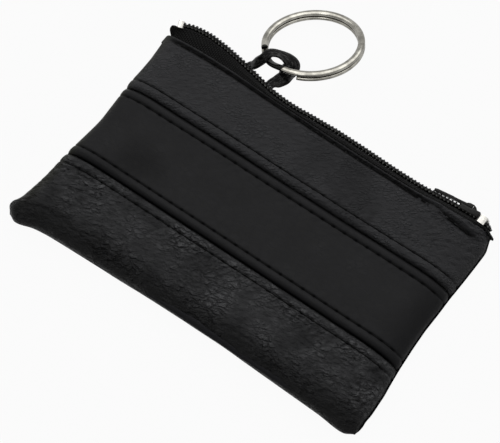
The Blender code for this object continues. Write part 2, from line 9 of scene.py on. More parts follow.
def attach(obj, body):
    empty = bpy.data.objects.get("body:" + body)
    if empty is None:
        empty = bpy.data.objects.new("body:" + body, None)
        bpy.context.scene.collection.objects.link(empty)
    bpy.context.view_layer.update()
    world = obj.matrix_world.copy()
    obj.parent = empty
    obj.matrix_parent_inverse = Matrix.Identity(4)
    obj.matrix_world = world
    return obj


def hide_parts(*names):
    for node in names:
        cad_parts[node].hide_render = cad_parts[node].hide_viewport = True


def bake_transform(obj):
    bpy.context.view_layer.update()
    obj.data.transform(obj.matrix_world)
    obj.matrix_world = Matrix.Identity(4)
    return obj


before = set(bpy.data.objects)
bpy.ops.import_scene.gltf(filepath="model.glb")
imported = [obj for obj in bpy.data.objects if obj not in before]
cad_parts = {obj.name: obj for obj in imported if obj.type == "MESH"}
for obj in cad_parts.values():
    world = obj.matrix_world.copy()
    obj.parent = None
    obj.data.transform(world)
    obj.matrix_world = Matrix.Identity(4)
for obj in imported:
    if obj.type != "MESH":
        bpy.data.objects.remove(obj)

mm = 0.001
scene = bpy.context.scene
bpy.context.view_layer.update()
print("frame loaded")


def ease(low, high, value):
    share = np.clip((value - low) / (high - low), 0, 1)
    return share * share * (3 - 2 * share)


def hill(distance, width):
    return np.exp(-((distance / width) ** 2))


def unit(vectors):
    return vectors / np.maximum(np.linalg.norm(vectors, axis=-1, keepdims=True), 1e-9)


def fractal(points, scale, octaves=3, seed=0.0):
    # smooth noise from about -1 to 1 at points given in mm
    flat = np.asarray(points, float).reshape(-1, 3) / scale + seed * 17.3
    values = [noise.fractal(Vector(p), 0.9, 2.0, octaves) for p in flat]
    return np.array(values).reshape(np.shape(points)[:-1])


def pointPlaces(mesh):
    flat = np.empty(len(mesh.vertices) * 3)
    mesh.vertices.foreach_get("co", flat)
    return flat.reshape(-1, 3)


def markPoints(mesh, label, values):
    layer = mesh.attributes.new(label, "FLOAT", "POINT")
    layer.data.foreach_set("value", values.ravel())


def gridPiece(name, points, uv=None, flip=False, shade=None):
    # points is rows x columns x 3 in mm; uv is rows x columns x 2 in mm; shade darkens places by 0 to 1
    rows, columns = points.shape[:2]
    bm = bmesh.new()
    bmesh.ops.create_grid(bm, x_segments=columns - 1, y_segments=rows - 1, size=1)
    if flip:
        bmesh.ops.reverse_faces(bm, faces=bm.faces)
    mesh = bpy.data.meshes.new(name)
    bm.to_mesh(mesh)
    bm.free()
    places = (pointPlaces(mesh)[:, :2] + 1) / 2 * (columns - 1, rows - 1)
    column, row = np.rint(places).astype(int).T
    mesh.vertices.foreach_set("co", (points[row, column] * mm).ravel())
    if uv is not None:
        corner = np.empty(len(mesh.loops), int)
        mesh.loops.foreach_get("vertex_index", corner)
        layer = mesh.uv_layers.new(name="UVMap")
        layer.data.foreach_set("uv", (uv[row, column] * mm)[corner].ravel())
    if shade is not None:
        markPoints(mesh, "shade", shade[row, column])
    mesh.update()
    return newObject(name, mesh)


def newObject(name, data):
    made = bpy.data.objects.new(name, data)
    scene.collection.objects.link(made)
    return made


def objectOf(name, bm):
    mesh = bpy.data.meshes.new(name)
    bm.to_mesh(mesh)
    bm.free()
    return newObject(name, mesh)


def welded(made, distance):
    # doubled points merged and all faces turned outwards
    bm = bmesh.new()
    bm.from_mesh(made.data)
    bmesh.ops.remove_doubles(bm, verts=bm.verts, dist=distance * mm)
    bmesh.ops.recalc_face_normals(bm, faces=bm.faces)
    bm.to_mesh(made.data)
    bm.free()
    return made


def asMesh(made):
    # a curve turned into the mesh that it shows
    name = made.name
    data = bpy.data.meshes.new_from_object(made.evaluated_get(bpy.context.evaluated_depsgraph_get()))
    bpy.data.objects.remove(made)
    data.name = name
    return newObject(name, data)


def tubes(name, lines, radius, radii=None, sides=1):
    # one mesh of tubes that follow lines of points in mm; radii vary each tube along its line
    curve = bpy.data.curves.new(name + "_line", "CURVE")
    curve.dimensions = "3D"
    curve.twist_mode = "MINIMUM"
    curve.bevel_depth = radius * mm
    curve.bevel_resolution = sides
    curve.use_fill_caps = True
    for line in lines:
        spline = curve.splines.new("POLY")
        spline.points.add(len(line) - 1)
        flat = np.ones((len(line), 4))
        flat[:, :3] = np.asarray(line) * mm
        spline.points.foreach_set("co", flat.ravel())
        spline.use_smooth = True
        if radii is not None:
            spline.points.foreach_set("radius", np.broadcast_to(radii, len(line)).astype(float))
    made = newObject(name, curve)
    bpy.context.view_layer.update()
    return asMesh(made)


def flatPlate(name, outlines, thickness, bevel, steps=3):
    # a plate of those outlines in mm, lying in its own XY, with rounded edges
    curve = bpy.data.curves.new(name + "_outline", "CURVE")
    curve.dimensions = "2D"
    curve.fill_mode = "BOTH"
    curve.extrude = (thickness / 2 - bevel) * mm
    curve.bevel_depth = bevel * mm
    curve.bevel_resolution = steps
    curve.offset = -bevel * mm
    for outline in outlines:
        spline = curve.splines.new("POLY")
        spline.points.add(len(outline) - 1)
        spline.use_cyclic_u = True
        for point, (x, y) in zip(spline.points, outline):
            point.co = (x * mm, y * mm, 0, 1)
    made = newObject(name, curve)
    bpy.context.view_layer.update()
    return welded(asMesh(made), 0.002)


def thickened(made, thickness):
    thick = made.modifiers.new("thickness", "SOLIDIFY")
    thick.thickness, thick.offset = thickness * mm, 0.0
    return made


def joined(name, parts):
    # several objects as one mesh
    bm = bmesh.new()
    for part in parts:
        part.data.transform(part.matrix_world)
        bm.from_mesh(part.data)
        bpy.data.objects.remove(part)
    return objectOf(name, bm)


def rounding(width):
    # what every bevel of edges is given besides its segments
    return {"offset": width * mm, "profile": 0.5, "affect": "EDGES", "material": -1}


def block(name, low, high, bevel, segments=3):
    # a bar between two corners in mm, with rounded edges
    bm = bmesh.new()
    bmesh.ops.create_cube(bm, size=1)
    size, middle = np.subtract(high, low), np.add(high, low) / 2
    bmesh.ops.scale(bm, vec=Vector(size * mm), verts=bm.verts)
    bmesh.ops.translate(bm, vec=Vector(middle * mm), verts=bm.verts)
    bmesh.ops.bevel(bm, geom=bm.edges[:], segments=segments, **rounding(bevel))
    return objectOf(name, bm)


def show(made, finish, slotName, body, nodes=(), blendTo=None, angle=180):
    # gives a piece its finish and attaches it to its body; a piece given blendTo is only baked where it
    # stands and attached to nothing. Edges past the angle stay sharp
    made.data.shade_smooth()
    if angle < 180:
        made.data.set_sharp_from_angle(angle=math.radians(angle))
    made.data.materials.clear()
    made.data.materials.append(finish.material)
    if nodes:
        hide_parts(*nodes)
    if blendTo is None:
        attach(made, body)
    else:
        other, start, end = blendTo
        tuple(c * mm for c in start)
        tuple(c * mm for c in end)
        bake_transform(made)
    return made


class Signal:
    # one value socket, so that shader sums read as plain sums
    def __init__(self, nodes, socket):
        self.nodes, self.socket = nodes, socket

    def math(self, operation, *values):
        return self.nodes.add("ShaderNodeMath", {"operation": operation}, dict(enumerate(values)))

    def __add__(self, other):
        return self.math("ADD", self, other)

    def __sub__(self, other):
        return self.math("SUBTRACT", self, other)

    def __mul__(self, other):
        return self.math("MULTIPLY", self, other)

    def __radd__(self, other):
        return self.math("ADD", other, self)

    def __rsub__(self, other):
        return self.math("SUBTRACT", other, self)

    def __rmul__(self, other):
        return self.math("MULTIPLY", other, self)

    def sine(self):
        return self.math("SINE", self)

    def orMore(self, other):
        return self.math("MAXIMUM", self, other)

    def times(self, gain, base):
        return self * gain + base

    def between(self, low, high):
        # 0 below low, 1 above high, smooth between
        settings = {"interpolation_type": "SMOOTHSTEP"}
        return self.nodes.add("ShaderNodeMapRange", settings, {0: self, 1: low, 2: high})


class Nodes:
    # a node tree; every node is added by one method
    def __init__(self, tree):
        self.tree = tree

    def add(self, kind, settings=None, sockets=None, output=0):
        node = self.tree.nodes.new(kind)
        for key, value in (settings or {}).items():
            setattr(node, key, value)
        for key, value in (sockets or {}).items():
            if isinstance(value, Signal):
                self.tree.links.new(value.socket, node.inputs[key])
            else:
                node.inputs[key].default_value = value
        return Signal(self, node.outputs[output])

    def axes(self, vector):
        return (self.add("ShaderNodeSeparateXYZ", None, {0: vector}, axis) for axis in (0, 1))

    def backgroundRays(self):
        # 1 for the rays that show the background: of the camera, off a mirror or through glass
        names = [f"Is {kind} Ray" for kind in ("Camera", "Glossy", "Transmission")]
        camera, glossy, through = (self.add("ShaderNodeLightPath", output=name) for name in names)
        return camera.orMore(glossy).orMore(through)


class Finish(Nodes):
    # a material
    def __init__(self, name, **constants):
        self.material = bpy.data.materials.new(name)
        self.material.use_nodes = True
        super().__init__(self.material.node_tree)
        self.shader = self.tree.nodes["Principled BSDF"]
        for label, value in constants.items():
            self.shader.inputs[label.replace("_", " ")].default_value = value
        self.object = self.add("ShaderNodeTexCoord", output="Object")

    def scaled(self, vector, factors, turn=0.0):
        sockets = {"Vector": vector, "Scale": factors, "Rotation": (0, 0, turn)}
        return self.add("ShaderNodeMapping", None, sockets)

    def noise(self, perMm, detail=3.0, roughness=0.55, vector=None):
        sockets = {0: vector or self.object, "Scale": perMm / mm, "Detail": detail, "Roughness": roughness}
        return self.add("ShaderNodeTexNoise", None, sockets)

    def cellEdges(self, perMm, vector):
        sockets = {"Vector": vector, "Scale": perMm / mm}
        return self.add("ShaderNodeTexVoronoi", {"feature": "DISTANCE_TO_EDGE"}, sockets, "Distance")

    def blend(self, factor, first, second):
        sockets = {0: factor, 6: first, 7: second}
        return self.add("ShaderNodeMix", {"data_type": "RGBA"}, sockets, 2)

    def bump(self, height, depthMm):
        return self.add("ShaderNodeBump", None, {"Height": height, "Distance": depthMm * mm})

    def set(self, **signals):
        for label, value in signals.items():
            self.tree.links.new(value.socket, self.shader.inputs[label.replace("_", " ")])


leather = {
    # painted colours: olive light on the left side, shade on the bottom fold and shade in the seams, grooves
    # and furrows, and how much the last two cover
    "side": (0.0115, 0.0118, 0.0072, 1), "fold": (0.0015, 0.0015, 0.0016, 1),
    "recessShade": (0.0006, 0.0006, 0.0007, 1), "recessShadeShare": 0.95, "foldShadeShare": 0.9,
    # where those colours and the flatter grain of the fold start and are full, in metres
    "sideFrom": -0.0535, "sideTo": -0.058, "foldFrom": -0.0235, "foldTo": -0.0325,
    "calmFrom": -0.027, "calmTo": -0.0335, "warp": 0.0016, "calmWide": 0.22,
}


def grainFinish(name, skin):
    # black leather: long pebbles with creases between them, fine pores and worn crests
    roughness = skin["roughness"]
    made = Finish(name, Roughness=roughness, Specular_IOR_Level=skin["shine"])
    x, y = made.axes(made.object)
    warp = {0: made.noise(0.35, 2.0), 1: (leather["warp"],) * 3, 2: made.object}
    bent = made.add("ShaderNodeVectorMath", {"operation": "MULTIPLY_ADD"}, warp)
    turn = (0, 0, math.radians(skin["turn"]))
    turned = {"Vector": bent, "Scale": (skin["long"], 0.9, 1.0), "Rotation": turn}
    along = made.add("ShaderNodeMapping", {"vector_type": "TEXTURE"}, turned)
    pebble, small = (
        made.cellEdges(skin["perMm"] * times, along).between(0.0, skin["wide"])
        for times in (1, 2.1)
    )
    pore = made.noise(3.4, 4.0, 0.62)
    cloud = made.noise(0.11, 3.0)
    depth = cloud.between(skin["calm"], skin["calm"] + leather["calmWide"])
    lump = made.noise(0.8, 3.0, 0.5, along) * skin["lump"]
    height = (pebble * 0.75 + small * 0.4) * depth + pore * skin["pore"] + lump
    depth = depth * y.between(leather["calmTo"], leather["calmFrom"])
    paleMark = pebble * depth * skin["contrast"] + cloud * 1.1 - 0.35
    crest = made.blend(paleMark, skin["dark"], skin["worn"])
    # painted light: the left side is tinted a lighter olive
    edge = x.between(leather["sideFrom"], leather["sideTo"])
    # painted shade: the bottom fold is darkened as it faces away from the light
    fold = y.between(leather["foldFrom"], leather["foldTo"])
    shade = made.add("ShaderNodeAttribute", {"attribute_name": "shade"}, None, "Fac")
    # painted shade in the seams, the hem's groove, the stitch holes and the furrows, read from the shade
    # attribute
    crest = made.blend(shade * leather["recessShadeShare"], crest, leather["recessShade"])
    sideLit = made.blend(edge, crest, leather["side"])
    made.set(Base_Color=made.blend(fold * leather["foldShadeShare"], sideLit, leather["fold"]))
    made.set(Roughness=(roughness - 0.05) + pore * 0.12 + (1 - pebble) * 0.1 - fold * 0.16)
    made.set(Normal=made.bump(height, skin["depth"]))
    return made


topSkin = {
    "dark": (0.024, 0.024, 0.0255, 1), "worn": (0.045, 0.0455, 0.048, 1), "roughness": 0.5, "shine": 0.1,
    "perMm": 1.0, "long": 1.8, "turn": 28, "wide": 0.3, "depth": 0.58, "calm": 0.42, "lump": 1.6,
    "contrast": 0.42, "pore": 0.9,
}
bottomSkin = {
    "dark": (0.0122, 0.0123, 0.013, 1), "worn": (0.07, 0.0705, 0.073, 1), "roughness": 0.4, "shine": 0.075,
    "perMm": 0.62, "long": 1.75, "turn": 14, "wide": 0.26, "depth": 0.95, "calm": 0.42, "lump": 1.2,
    "contrast": 0.75, "pore": 0.25,
}
stripSkin = {
    "dark": (0.0108, 0.0108, 0.0113, 1), "worn": (0.016, 0.016, 0.0168, 1), "roughness": 0.42, "shine": 0.045,
    "perMm": 0.5, "long": 1.5, "turn": 5, "wide": 0.2, "depth": 0.09, "calm": 0.55, "lump": 0.8,
    "contrast": 0.3, "pore": 0.8,
}
topLeather = grainFinish("grained_leather_fine", topSkin)
bottomLeather = grainFinish("grained_leather_pebbled", bottomSkin)
stripLeather = grainFinish("smooth_leather_satin", stripSkin)


def clothFinish(name, weave):
    # a plain weave: warp and weft cross over each other, with slubs in the yarn
    sheen = {"Sheen_Weight": 0.05, "Sheen_Roughness": 0.4}
    made = Finish(name, Roughness=weave["roughness"], Specular_IOR_Level=0.03, **sheen)
    along, across = made.axes(made.add("ShaderNodeUVMap", {"uv_map": "UVMap"}))
    turn = 2 * math.pi * weave["perMm"] / mm
    warpLine, weftLine = (along * turn).sine(), (across * turn).sine()
    crossing = (along * (turn / 2)).sine() * (across * (turn / 2)).sine()
    slub = made.noise(1.2, 3.0)
    height = warpLine * 0.25 + weftLine * 0.25 + crossing * 0.35 + slub * 0.4
    made.set(Base_Color=made.blend(height.between(-0.1, 0.9), weave["dark"], weave["light"]))
    made.set(Normal=made.bump(height, weave["depth"]))
    return made


tapeWeave = {
    "dark": (0.0006, 0.0006, 0.0006, 1), "light": (0.0165, 0.0165, 0.0165, 1),
    "perMm": 1.5, "depth": 0.16, "roughness": 0.8,
}
liningWeave = {
    "dark": (0.012, 0.012, 0.013, 1), "light": (0.03, 0.03, 0.033, 1),
    "perMm": 2.6, "depth": 0.03, "roughness": 0.75,
}
tapeCloth = clothFinish("zip_tape_weave", tapeWeave)
liningCloth = clothFinish("lining_weave", liningWeave)


threadLook = {
    "dark": (0.001, 0.001, 0.001, 1), "pale": (0.004, 0.004, 0.004, 1), "roughness": 0.65, "shine": 0.05,
    "fibre": 5.0, "depth": 0.05,
}


def threadFinish():
    # black twisted thread
    look = threadLook
    made = Finish("sewing_thread", Roughness=look["roughness"], Specular_IOR_Level=look["shine"])
    fibre = made.noise(look["fibre"])
    made.set(Base_Color=made.blend(fibre, look["dark"], look["pale"]))
    made.set(Normal=made.bump(fibre, look["depth"]))
    return made


# the pale mark colour is a painted highlight on the coil's turns
nylonLook = {
    "dark": (0.0006, 0.0006, 0.0006, 1), "pale": (0.002, 0.002, 0.002, 1), "paleMark": (0.27, 0.27, 0.255, 1),
    "roughness": 0.22, "shine": 0.08, "wear": 1.5, "rough": (0.12, 0.1), "fine": 6.0, "depth": 0.015,
}


def nylonFinish():
    # glossy black nylon with painted highlights: pale spots where the coil is marked
    look = nylonLook
    made = Finish("coil_nylon", Roughness=look["roughness"], Specular_IOR_Level=look["shine"])
    wear = made.noise(look["wear"])
    plain = made.blend(wear, look["dark"], look["pale"])
    paleMark = made.add("ShaderNodeAttribute", {"attribute_name": "paleMark"}, None, "Fac")
    made.set(Base_Color=made.blend(paleMark, plain, look["paleMark"]))
    relief = made.bump(made.noise(look["fine"], 2.0), look["depth"])
    made.set(Roughness=wear.times(*look["rough"]), Normal=relief)
    return made


lacquerLook = {
    "dark": (0.009, 0.009, 0.0085, 1), "worn": (0.026, 0.026, 0.023, 1), "wornFrom": (0.45, 0.75),
    "roughness": 0.38, "shine": 0.12, "rub": 0.8, "rough": (0.2, 0.3), "pits": 7.0, "depth": 0.02,
}


def lacquerFinish():
    # black lacquer over cast metal, rubbed and pitted
    look = lacquerLook
    made = Finish("slider_lacquer", Roughness=look["roughness"], Specular_IOR_Level=look["shine"])
    rub = made.noise(look["rub"], 5.0, 0.65)
    made.set(Base_Color=made.blend(rub.between(*look["wornFrom"]), look["dark"], look["worn"]))
    relief = made.bump(made.noise(look["pits"]) * 0.6 + rub, look["depth"])
    made.set(Roughness=rub.times(*look["rough"]), Normal=relief)
    return made


crimpLook = {
    "dull": (0.3, 0.29, 0.27, 1), "bright": (0.56, 0.55, 0.52, 1), "roughness": 0.3,
    "brush": (3.0, 1.0, 9.0), "rough": (0.25, 0.18), "depth": 0.03,
}


def crimpFinish():
    # bright crimped metal, brushed along its length
    look = crimpLook
    made = Finish("stop_crimp_metal", Metallic=1.0, Roughness=look["roughness"])
    brush = made.noise(1.0, 4.0, 0.6, made.scaled(made.object, look["brush"]))
    made.set(Base_Color=made.blend(brush, look["dull"], look["bright"]))
    made.set(Roughness=brush.times(*look["rough"]), Normal=made.bump(brush, look["depth"]))
    return made


nickelLook = {
    "dull": (0.19, 0.183, 0.162, 1), "bright": (0.35, 0.34, 0.305, 1), "paintedShade": (0.012, 0.012, 0.011, 1),
    "roughness": 0.18, "patch": 0.35, "brightFrom": (0.3, 0.7), "patchRough": (0.12, 0.02),
    "scratch": (1.0, 6.0, 1.0), "scratchRough": 0.08, "depth": 0.006,
    # painted shade and dark reflection under the strap, and painted shade at the wire's outer end: place, and
    # both ends of its soft rim, in metres
    "paintedShadeAt": (((-0.0247, 0.0452, 0.0098), 0.0048, 0.0042), ((-0.0306, 0.0485, 0.0079), 0.0014, 0.001)),
}


def nickelFinish():
    # polished nickel with a warm cast, hair scratches and dull patches
    look = nickelLook
    made = Finish("ring_nickel_plate", Metallic=1.0, Roughness=look["roughness"])
    dull = made.noise(look["patch"], 4.0, 0.6)
    scratch = made.noise(2.0, 4.0, 0.7, made.scaled(made.object, look["scratch"], 0.5))
    apart = {"operation": "DISTANCE"}
    # painted shade and reflection: the wire is darkened under the strap and at its outer end
    held, wound = (
        made.add("ShaderNodeVectorMath", apart, {0: made.object, 1: place}, 1).between(far, near)
        for place, far, near in look["paintedShadeAt"]
    )
    plate = made.blend(dull.between(*look["brightFrom"]), look["dull"], look["bright"])
    made.set(Base_Color=made.blend(held.orMore(wound), plate, look["paintedShade"]))
    rough = dull.times(*look["patchRough"]) + scratch * look["scratchRough"]
    made.set(Roughness=rough, Normal=made.bump(scratch, look["depth"]))
    return made


strapLook = {
    "dark": (0.002, 0.002, 0.002, 1), "pale": (0.08, 0.08, 0.078, 1), "highlightFrom": (0.5, 0.64),
    "roughness": 0.35, "shine": 0.12, "streak": (0.5, 6.0, 1.0), "rough": (0.25, 0.2), "grain": 5.0,
    "depth": 0.06,
}


def strapFinish():
    # black leather with streaks along the band; the streaks are ridges, and their pale colour is a painted
    # highlight
    look = strapLook
    made = Finish("strap_leather_folded", Roughness=look["roughness"], Specular_IOR_Level=look["shine"])
    place = made.add("ShaderNodeUVMap", {"uv_map": "UVMap"})
    streak = made.noise(1.2, 4.0, 0.6, made.scaled(place, look["streak"]))
    relief = made.bump(streak * 0.8 + made.noise(look["grain"]) * 0.3, look["depth"])
    # painted highlight: the streaks are coloured pale
    made.set(Base_Color=made.blend(streak.between(*look["highlightFrom"]), look["dark"], look["pale"]))
    made.set(Roughness=streak.times(*look["rough"]), Normal=relief)
    return made


threadBlack, coilNylon, lacquer = threadFinish(), nylonFinish(), lacquerFinish()
crimpMetal, ringNickel, strapBlack = crimpFinish(), nickelFinish(), strapFinish()
print("finishes made")


pouch = {
    "halfWidth": 56.0, "halfHeight": 34.75, "thickness": 9.0, "seamHeight": 3.2,
    "frontRoll": 12.0, "backRoll": 4.0, "rollPower": 2.2,
    "seams": (15.25, -11.45), "slit": 0.1, "hemTurn": 0.5,
}
# how far the pouch's edges lie outside its plain rectangle at places along them, in mm
leftEdge = (
    (-36, -34, -32, -30, -28.5, -25, -21, -18, -14, -9, -4, 0, 3, 8, 12, 16, 18, 22, 26, 30, 34, 36),
    (
        -3.3, -4.9, -5.6, -5.0, -3.7, -3.0, -2.4, -2.1, -1.9, -1.55, -1.0,
        -0.6, -0.45, -0.7, -0.9, -0.95, -1.1, -0.95, -0.95, -1.3, -1.8, -2.0,
    ),
)
rightEdge = (
    (-34.75, -33, -31.5, -29, -26.3, -19.5, -14.3, -10.3, -3.3, 3, 9.3, 14.7, 20.7, 25.7, 30.6, 33, 35, 37.0),
    (1.6, 1.5, 0.9, 0.45, 0.7, 0.5, 0.0, -0.3, -0.6, -0.7, -0.4, -0.3, 0.1, 0.35, 0.5, -0.25, -0.9, -1.2),
)
foldEdge = (
    (-60, -57, -54, -51, -48, -44, -39, -33, -27, -21, -15, -9, -3, 3, 13, 24, 45, 49, 53.7, 56),
    (
        -1.3, -1.8, -2.7, -1.9, -0.55, 0.05, 0.35, 0.6, 0.8, 1.0,
        1.25, 1.45, 1.6, 1.7, 1.8, 1.5, 1.0, 0.5, 0.3, 0.9,
    ),
)
hemEdge = (
    (-56, -54, -50, -45, -40, -32, -24, -16, 0, 20, 30, 38, 45, 50, 53, 55, 56),
    (2.0, 1.7, 1.3, 1.4, 1.5, 1.4, 1.0, 0.65, 0.4, 0.1, 0.0, 0.2, 0.5, 0.9, 1.5, 1.9, 1.9),
)
hemStitch = ((-50, -32, -16, 0, 25, 35, 43, 50), (1.3, 1.25, 1.05, 1.15, 1.15, 1.4, 2.3, 3.2))


def softened(table, low, high, count=220, rounds=6):
    # the table's places joined by a soft line from low to high
    places = np.linspace(low, high, count)
    values = np.interp(places, *table)
    for _ in range(rounds):
        values[1:-1] = (values[:-2] + 2 * values[1:-1] + values[2:]) / 4
    return places, values


leftEdge, rightEdge, foldEdge, hemEdge = (
    softened(table, table[0][0], table[0][-1]) for table in (leftEdge, rightEdge, foldEdge, hemEdge)
)
# from where on the sides, the fold and the hem move outwards, and how the corners are rounded
edgeForm = {"sideFrom": 26, "foldFrom": 8, "hemFrom": 14, "cornerReach": 3.0, "cornerCut": 1.1}


def stretched(x, y):
    # moves a plain point of the pouch to where the soft edges really lie
    side = np.where(x < 0, np.interp(y, *leftEdge), np.interp(y, *rightEdge))
    width, height, reach = pouch["halfWidth"], pouch["halfHeight"], edgeForm["cornerReach"]
    outX = side * ease(edgeForm["sideFrom"], width, abs(x))
    outY = np.interp(x, *foldEdge) * ease(edgeForm["foldFrom"], height, -y)
    outY = outY + np.interp(x, *hemEdge) * ease(edgeForm["hemFrom"], height, y)
    cut = edgeForm["cornerCut"] * hill(abs(x) - width, reach) * hill(y + height, reach)
    return x + outX - np.sign(x) * cut, y + outY + cut


def seamDistance(y):
    return np.min([abs(y - seam) for seam in pouch["seams"]], axis=0)


# angle, length, width and height of the furrows of each wrinkled place, in degrees and mm
furrows = {
    "topRight": (32, 5.0, 1.4, 1.1), "bottom": (14, 6.5, 2.4, 0.75), "seam": (62, 6.0, 1.9, 0.6),
    "steep": 1.4, "crest": 0.3, "sink": 0.25, "wave": 0.35, "waveLong": 26.0,
    # where each wrinkled place starts and is full
    "topRightX": (22, 48), "topRightY": (16, 24), "bottomY": (-12.5, -16), "middleShare": 0.3,
    "leftX": (-18, -50), "foldY": (-24, -31), "rightX": (30, 52), "underSeam": (-12.3, -15.5),
    "underReach": 5.0, "overSeam": (15.8, 18.8), "overReach": 4.0, "overShare": 0.45,
}


def wrinkles(x, y):
    # how far the leather is wrinkled at each place, in mm
    place = np.stack([x, y, np.zeros_like(x)], -1)
    wave = furrows["wave"] * fractal(place, furrows["waveLong"], 2, 1)

    def crease(key, seed):
        # furrows that run at that angle
        turn, long, wide, height = furrows[key]
        a, b = math.cos(math.radians(turn)), math.sin(math.radians(turn))
        field = np.stack([(x * a + y * b) / long, (y * a - x * b) / wide, np.zeros_like(x)], -1)
        ridges = np.minimum(np.abs(fractal(field, 1.0, 3, seed)), furrows["crest"])
        return height * (furrows["steep"] * ridges - furrows["sink"])

    def within(key, value):
        return ease(*furrows[key], value)

    topRight = within("topRightX", x) * within("topRightY", y)
    outer = np.maximum(within("leftX", x), np.maximum(within("foldY", y), within("rightX", x)))
    middle = furrows["middleShare"]
    bottom = within("bottomY", y) * (middle + (1 - middle) * outer)
    past = np.minimum(y - furrows["underSeam"][1], 0)
    pucker = within("underSeam", y) * hill(past, furrows["underReach"])
    past = np.maximum(y - furrows["overSeam"][1], 0)
    pucker = pucker + furrows["overShare"] * within("overSeam", y) * hill(past, furrows["overReach"])
    relief = wave + crease("topRight", 2) * topRight + crease("bottom", 4) * bottom
    return relief + crease("seam", 3) * pucker


seamForm = {
    "valley": 1.4,  # radius of the round valley along each seam
    "puff": 0.34, "puffFrom": 0.5, "puffWide": 2.5,  # the soft band between seam and stitches
    "row": 3.1, "pitch": 3.75, "groove": 0.34, "grooveWide": 0.27,  # the row of stitches
    "hole": 0.5, "holeLong": 0.42, "holeWide": 0.32,
    "ridge": 0.14, "ridgeOut": 1.1, "ridgeWide": 0.8,  # the leather pushed up outside the row
}
hemForm = {
    "groove": 0.95, "grooveWide": 0.72, "pitch": 4.2, "hole": 0.4, "holeLong": 0.7, "holeWide": 0.6,
    "crest": 0.5, "crestOut": 1.35, "crestWide": 0.45, "endFrom": 55, "endTo": (-51, 50), "turnBack": 2.2,
}


def rowPhase(x, pitch):
    # distance in mm from the nearest hole of a row of stitches
    return ((x / pitch + 0.5) % 1 - 0.5) * pitch


def bandPuff(y):
    share = np.clip((seamDistance(y) - seamForm["puffFrom"]) / seamForm["puffWide"], 0, 1)
    return np.clip(np.sin(np.pi * share), 0, 1)


def seamRelief(x, y, groove=seamForm["groove"], hole=seamForm["hole"]):
    # the valley of each seam, the rows of stitches beside it and the soft band between them
    radius = seamForm["valley"]
    inside = np.clip(radius - seamDistance(y), 0, radius)
    relief = -(radius - np.sqrt(np.maximum(radius ** 2 - inside ** 2, 0)))
    row = seamDistance(y) - seamForm["row"]
    relief = relief + seamForm["puff"] * bandPuff(y) - groove * hill(row, seamForm["grooveWide"])
    phase = rowPhase(x, seamForm["pitch"])
    relief = relief - hole * hill(phase, seamForm["holeLong"]) * hill(row, seamForm["holeWide"])
    swell = 0.5 + 0.5 * np.cos(2 * np.pi * (phase / seamForm["pitch"] + 0.5))
    return relief + seamForm["ridge"] * hill(row - seamForm["ridgeOut"], seamForm["ridgeWide"]) * swell


def hemRelief(x, y):
    row = y - (pouch["halfHeight"] - np.interp(x, *hemStitch))
    phase = rowPhase(x, hemForm["pitch"])
    relief = -hemForm["groove"] * hill(row, hemForm["grooveWide"])
    relief = relief - hemForm["hole"] * hill(phase, hemForm["holeLong"]) * hill(row, hemForm["holeWide"])
    relief = relief + hemForm["crest"] * hill(row - hemForm["crestOut"], hemForm["crestWide"])
    end, (left, right) = hemForm["endFrom"], hemForm["endTo"]
    return relief * ease(-end, left, x) * ease(end, right, x)


# how deep a dip gets full painted shade, and how fast and from where furrows get painted shade
paintedShade = {"fullDip": 0.65, "furrowGain": 3.0, "furrowFrom": 0.3}


def darkness(x, y):
    # how much painted shade lies in the seams, the hem's groove and the furrows
    dips = -(seamRelief(x, y) + hemRelief(x, y))
    furrowed = -wrinkles(x, y) * paintedShade["furrowGain"] - paintedShade["furrowFrom"]
    return np.clip(np.maximum(dips / paintedShade["fullDip"], furrowed), 0, 1)


def rollShares(x, y, roll):
    # how far round the rolled side and the rolled bottom a place lies, 0 to 1
    a = np.clip((abs(x) - pouch["halfWidth"] + roll) / roll, 0, 1)
    b = np.clip((-y - pouch["halfHeight"] + roll) / roll, 0, 1)
    return a, b


def bareFront(x, y):
    a, b = rollShares(x, y, pouch["frontRoll"])
    power = pouch["rollPower"]
    full = (1 - a ** power) ** (1 / power) * (1 - b ** power) ** (1 / power)
    rise = pouch["thickness"] - pouch["seamHeight"]
    outX, outY = stretched(x, y)
    return np.stack([outX, outY, pouch["seamHeight"] + rise * full], -1)


backForm = {
    "groove": 0.55, "hole": 0.25, "puff": 0.3, "wave": 0.12, "waveLong": 9.0,
    "ledge": 0.45, "ledgeX": (55, 56),  # the back reaches a little past the front at the right
}


def bareBack(x, y):
    a, b = rollShares(x, y, pouch["backRoll"])
    full = np.sqrt(1 - a ** 2) * np.sqrt(1 - b ** 2)
    outX, outY = stretched(x, y)
    ledge = backForm["ledge"] * ease(*backForm["ledgeX"], x) * (1 - b)
    return np.stack([outX + ledge, outY, pouch["seamHeight"] * (1 - full)], -1)


# the rim, where relief and wrinkles fade to a share, and the last places that have a normal
rimForm = {
    "x": (56, 53), "y": (-34.75, -30), "relief": 0.35, "wrinkles": 0.2,
    "lastX": 55.9, "lastY": -34.6, "step": 0.05,
}


def frontPoint(x, y):
    # the bare front moved along its own normal by all its relief
    step, lastX = rimForm["step"], rimForm["lastX"]
    safeX, safeY = np.clip(x, -lastX, lastX), np.maximum(y, rimForm["lastY"])
    alongX = bareFront(safeX + step, safeY) - bareFront(safeX - step, safeY)
    alongY = bareFront(safeX, safeY + step) - bareFront(safeX, safeY - step)
    normal = unit(np.cross(alongX, alongY))
    rim = ease(*rimForm["x"], abs(x)) * ease(*rimForm["y"], y)
    low, lowest = rimForm["relief"], rimForm["wrinkles"]
    relief = (seamRelief(x, y) + hemRelief(x, y)) * (low + (1 - low) * rim)
    relief = relief + wrinkles(x, y) * (lowest + (1 - lowest) * rim)
    return bareFront(x, y) + normal * relief[..., None], normal


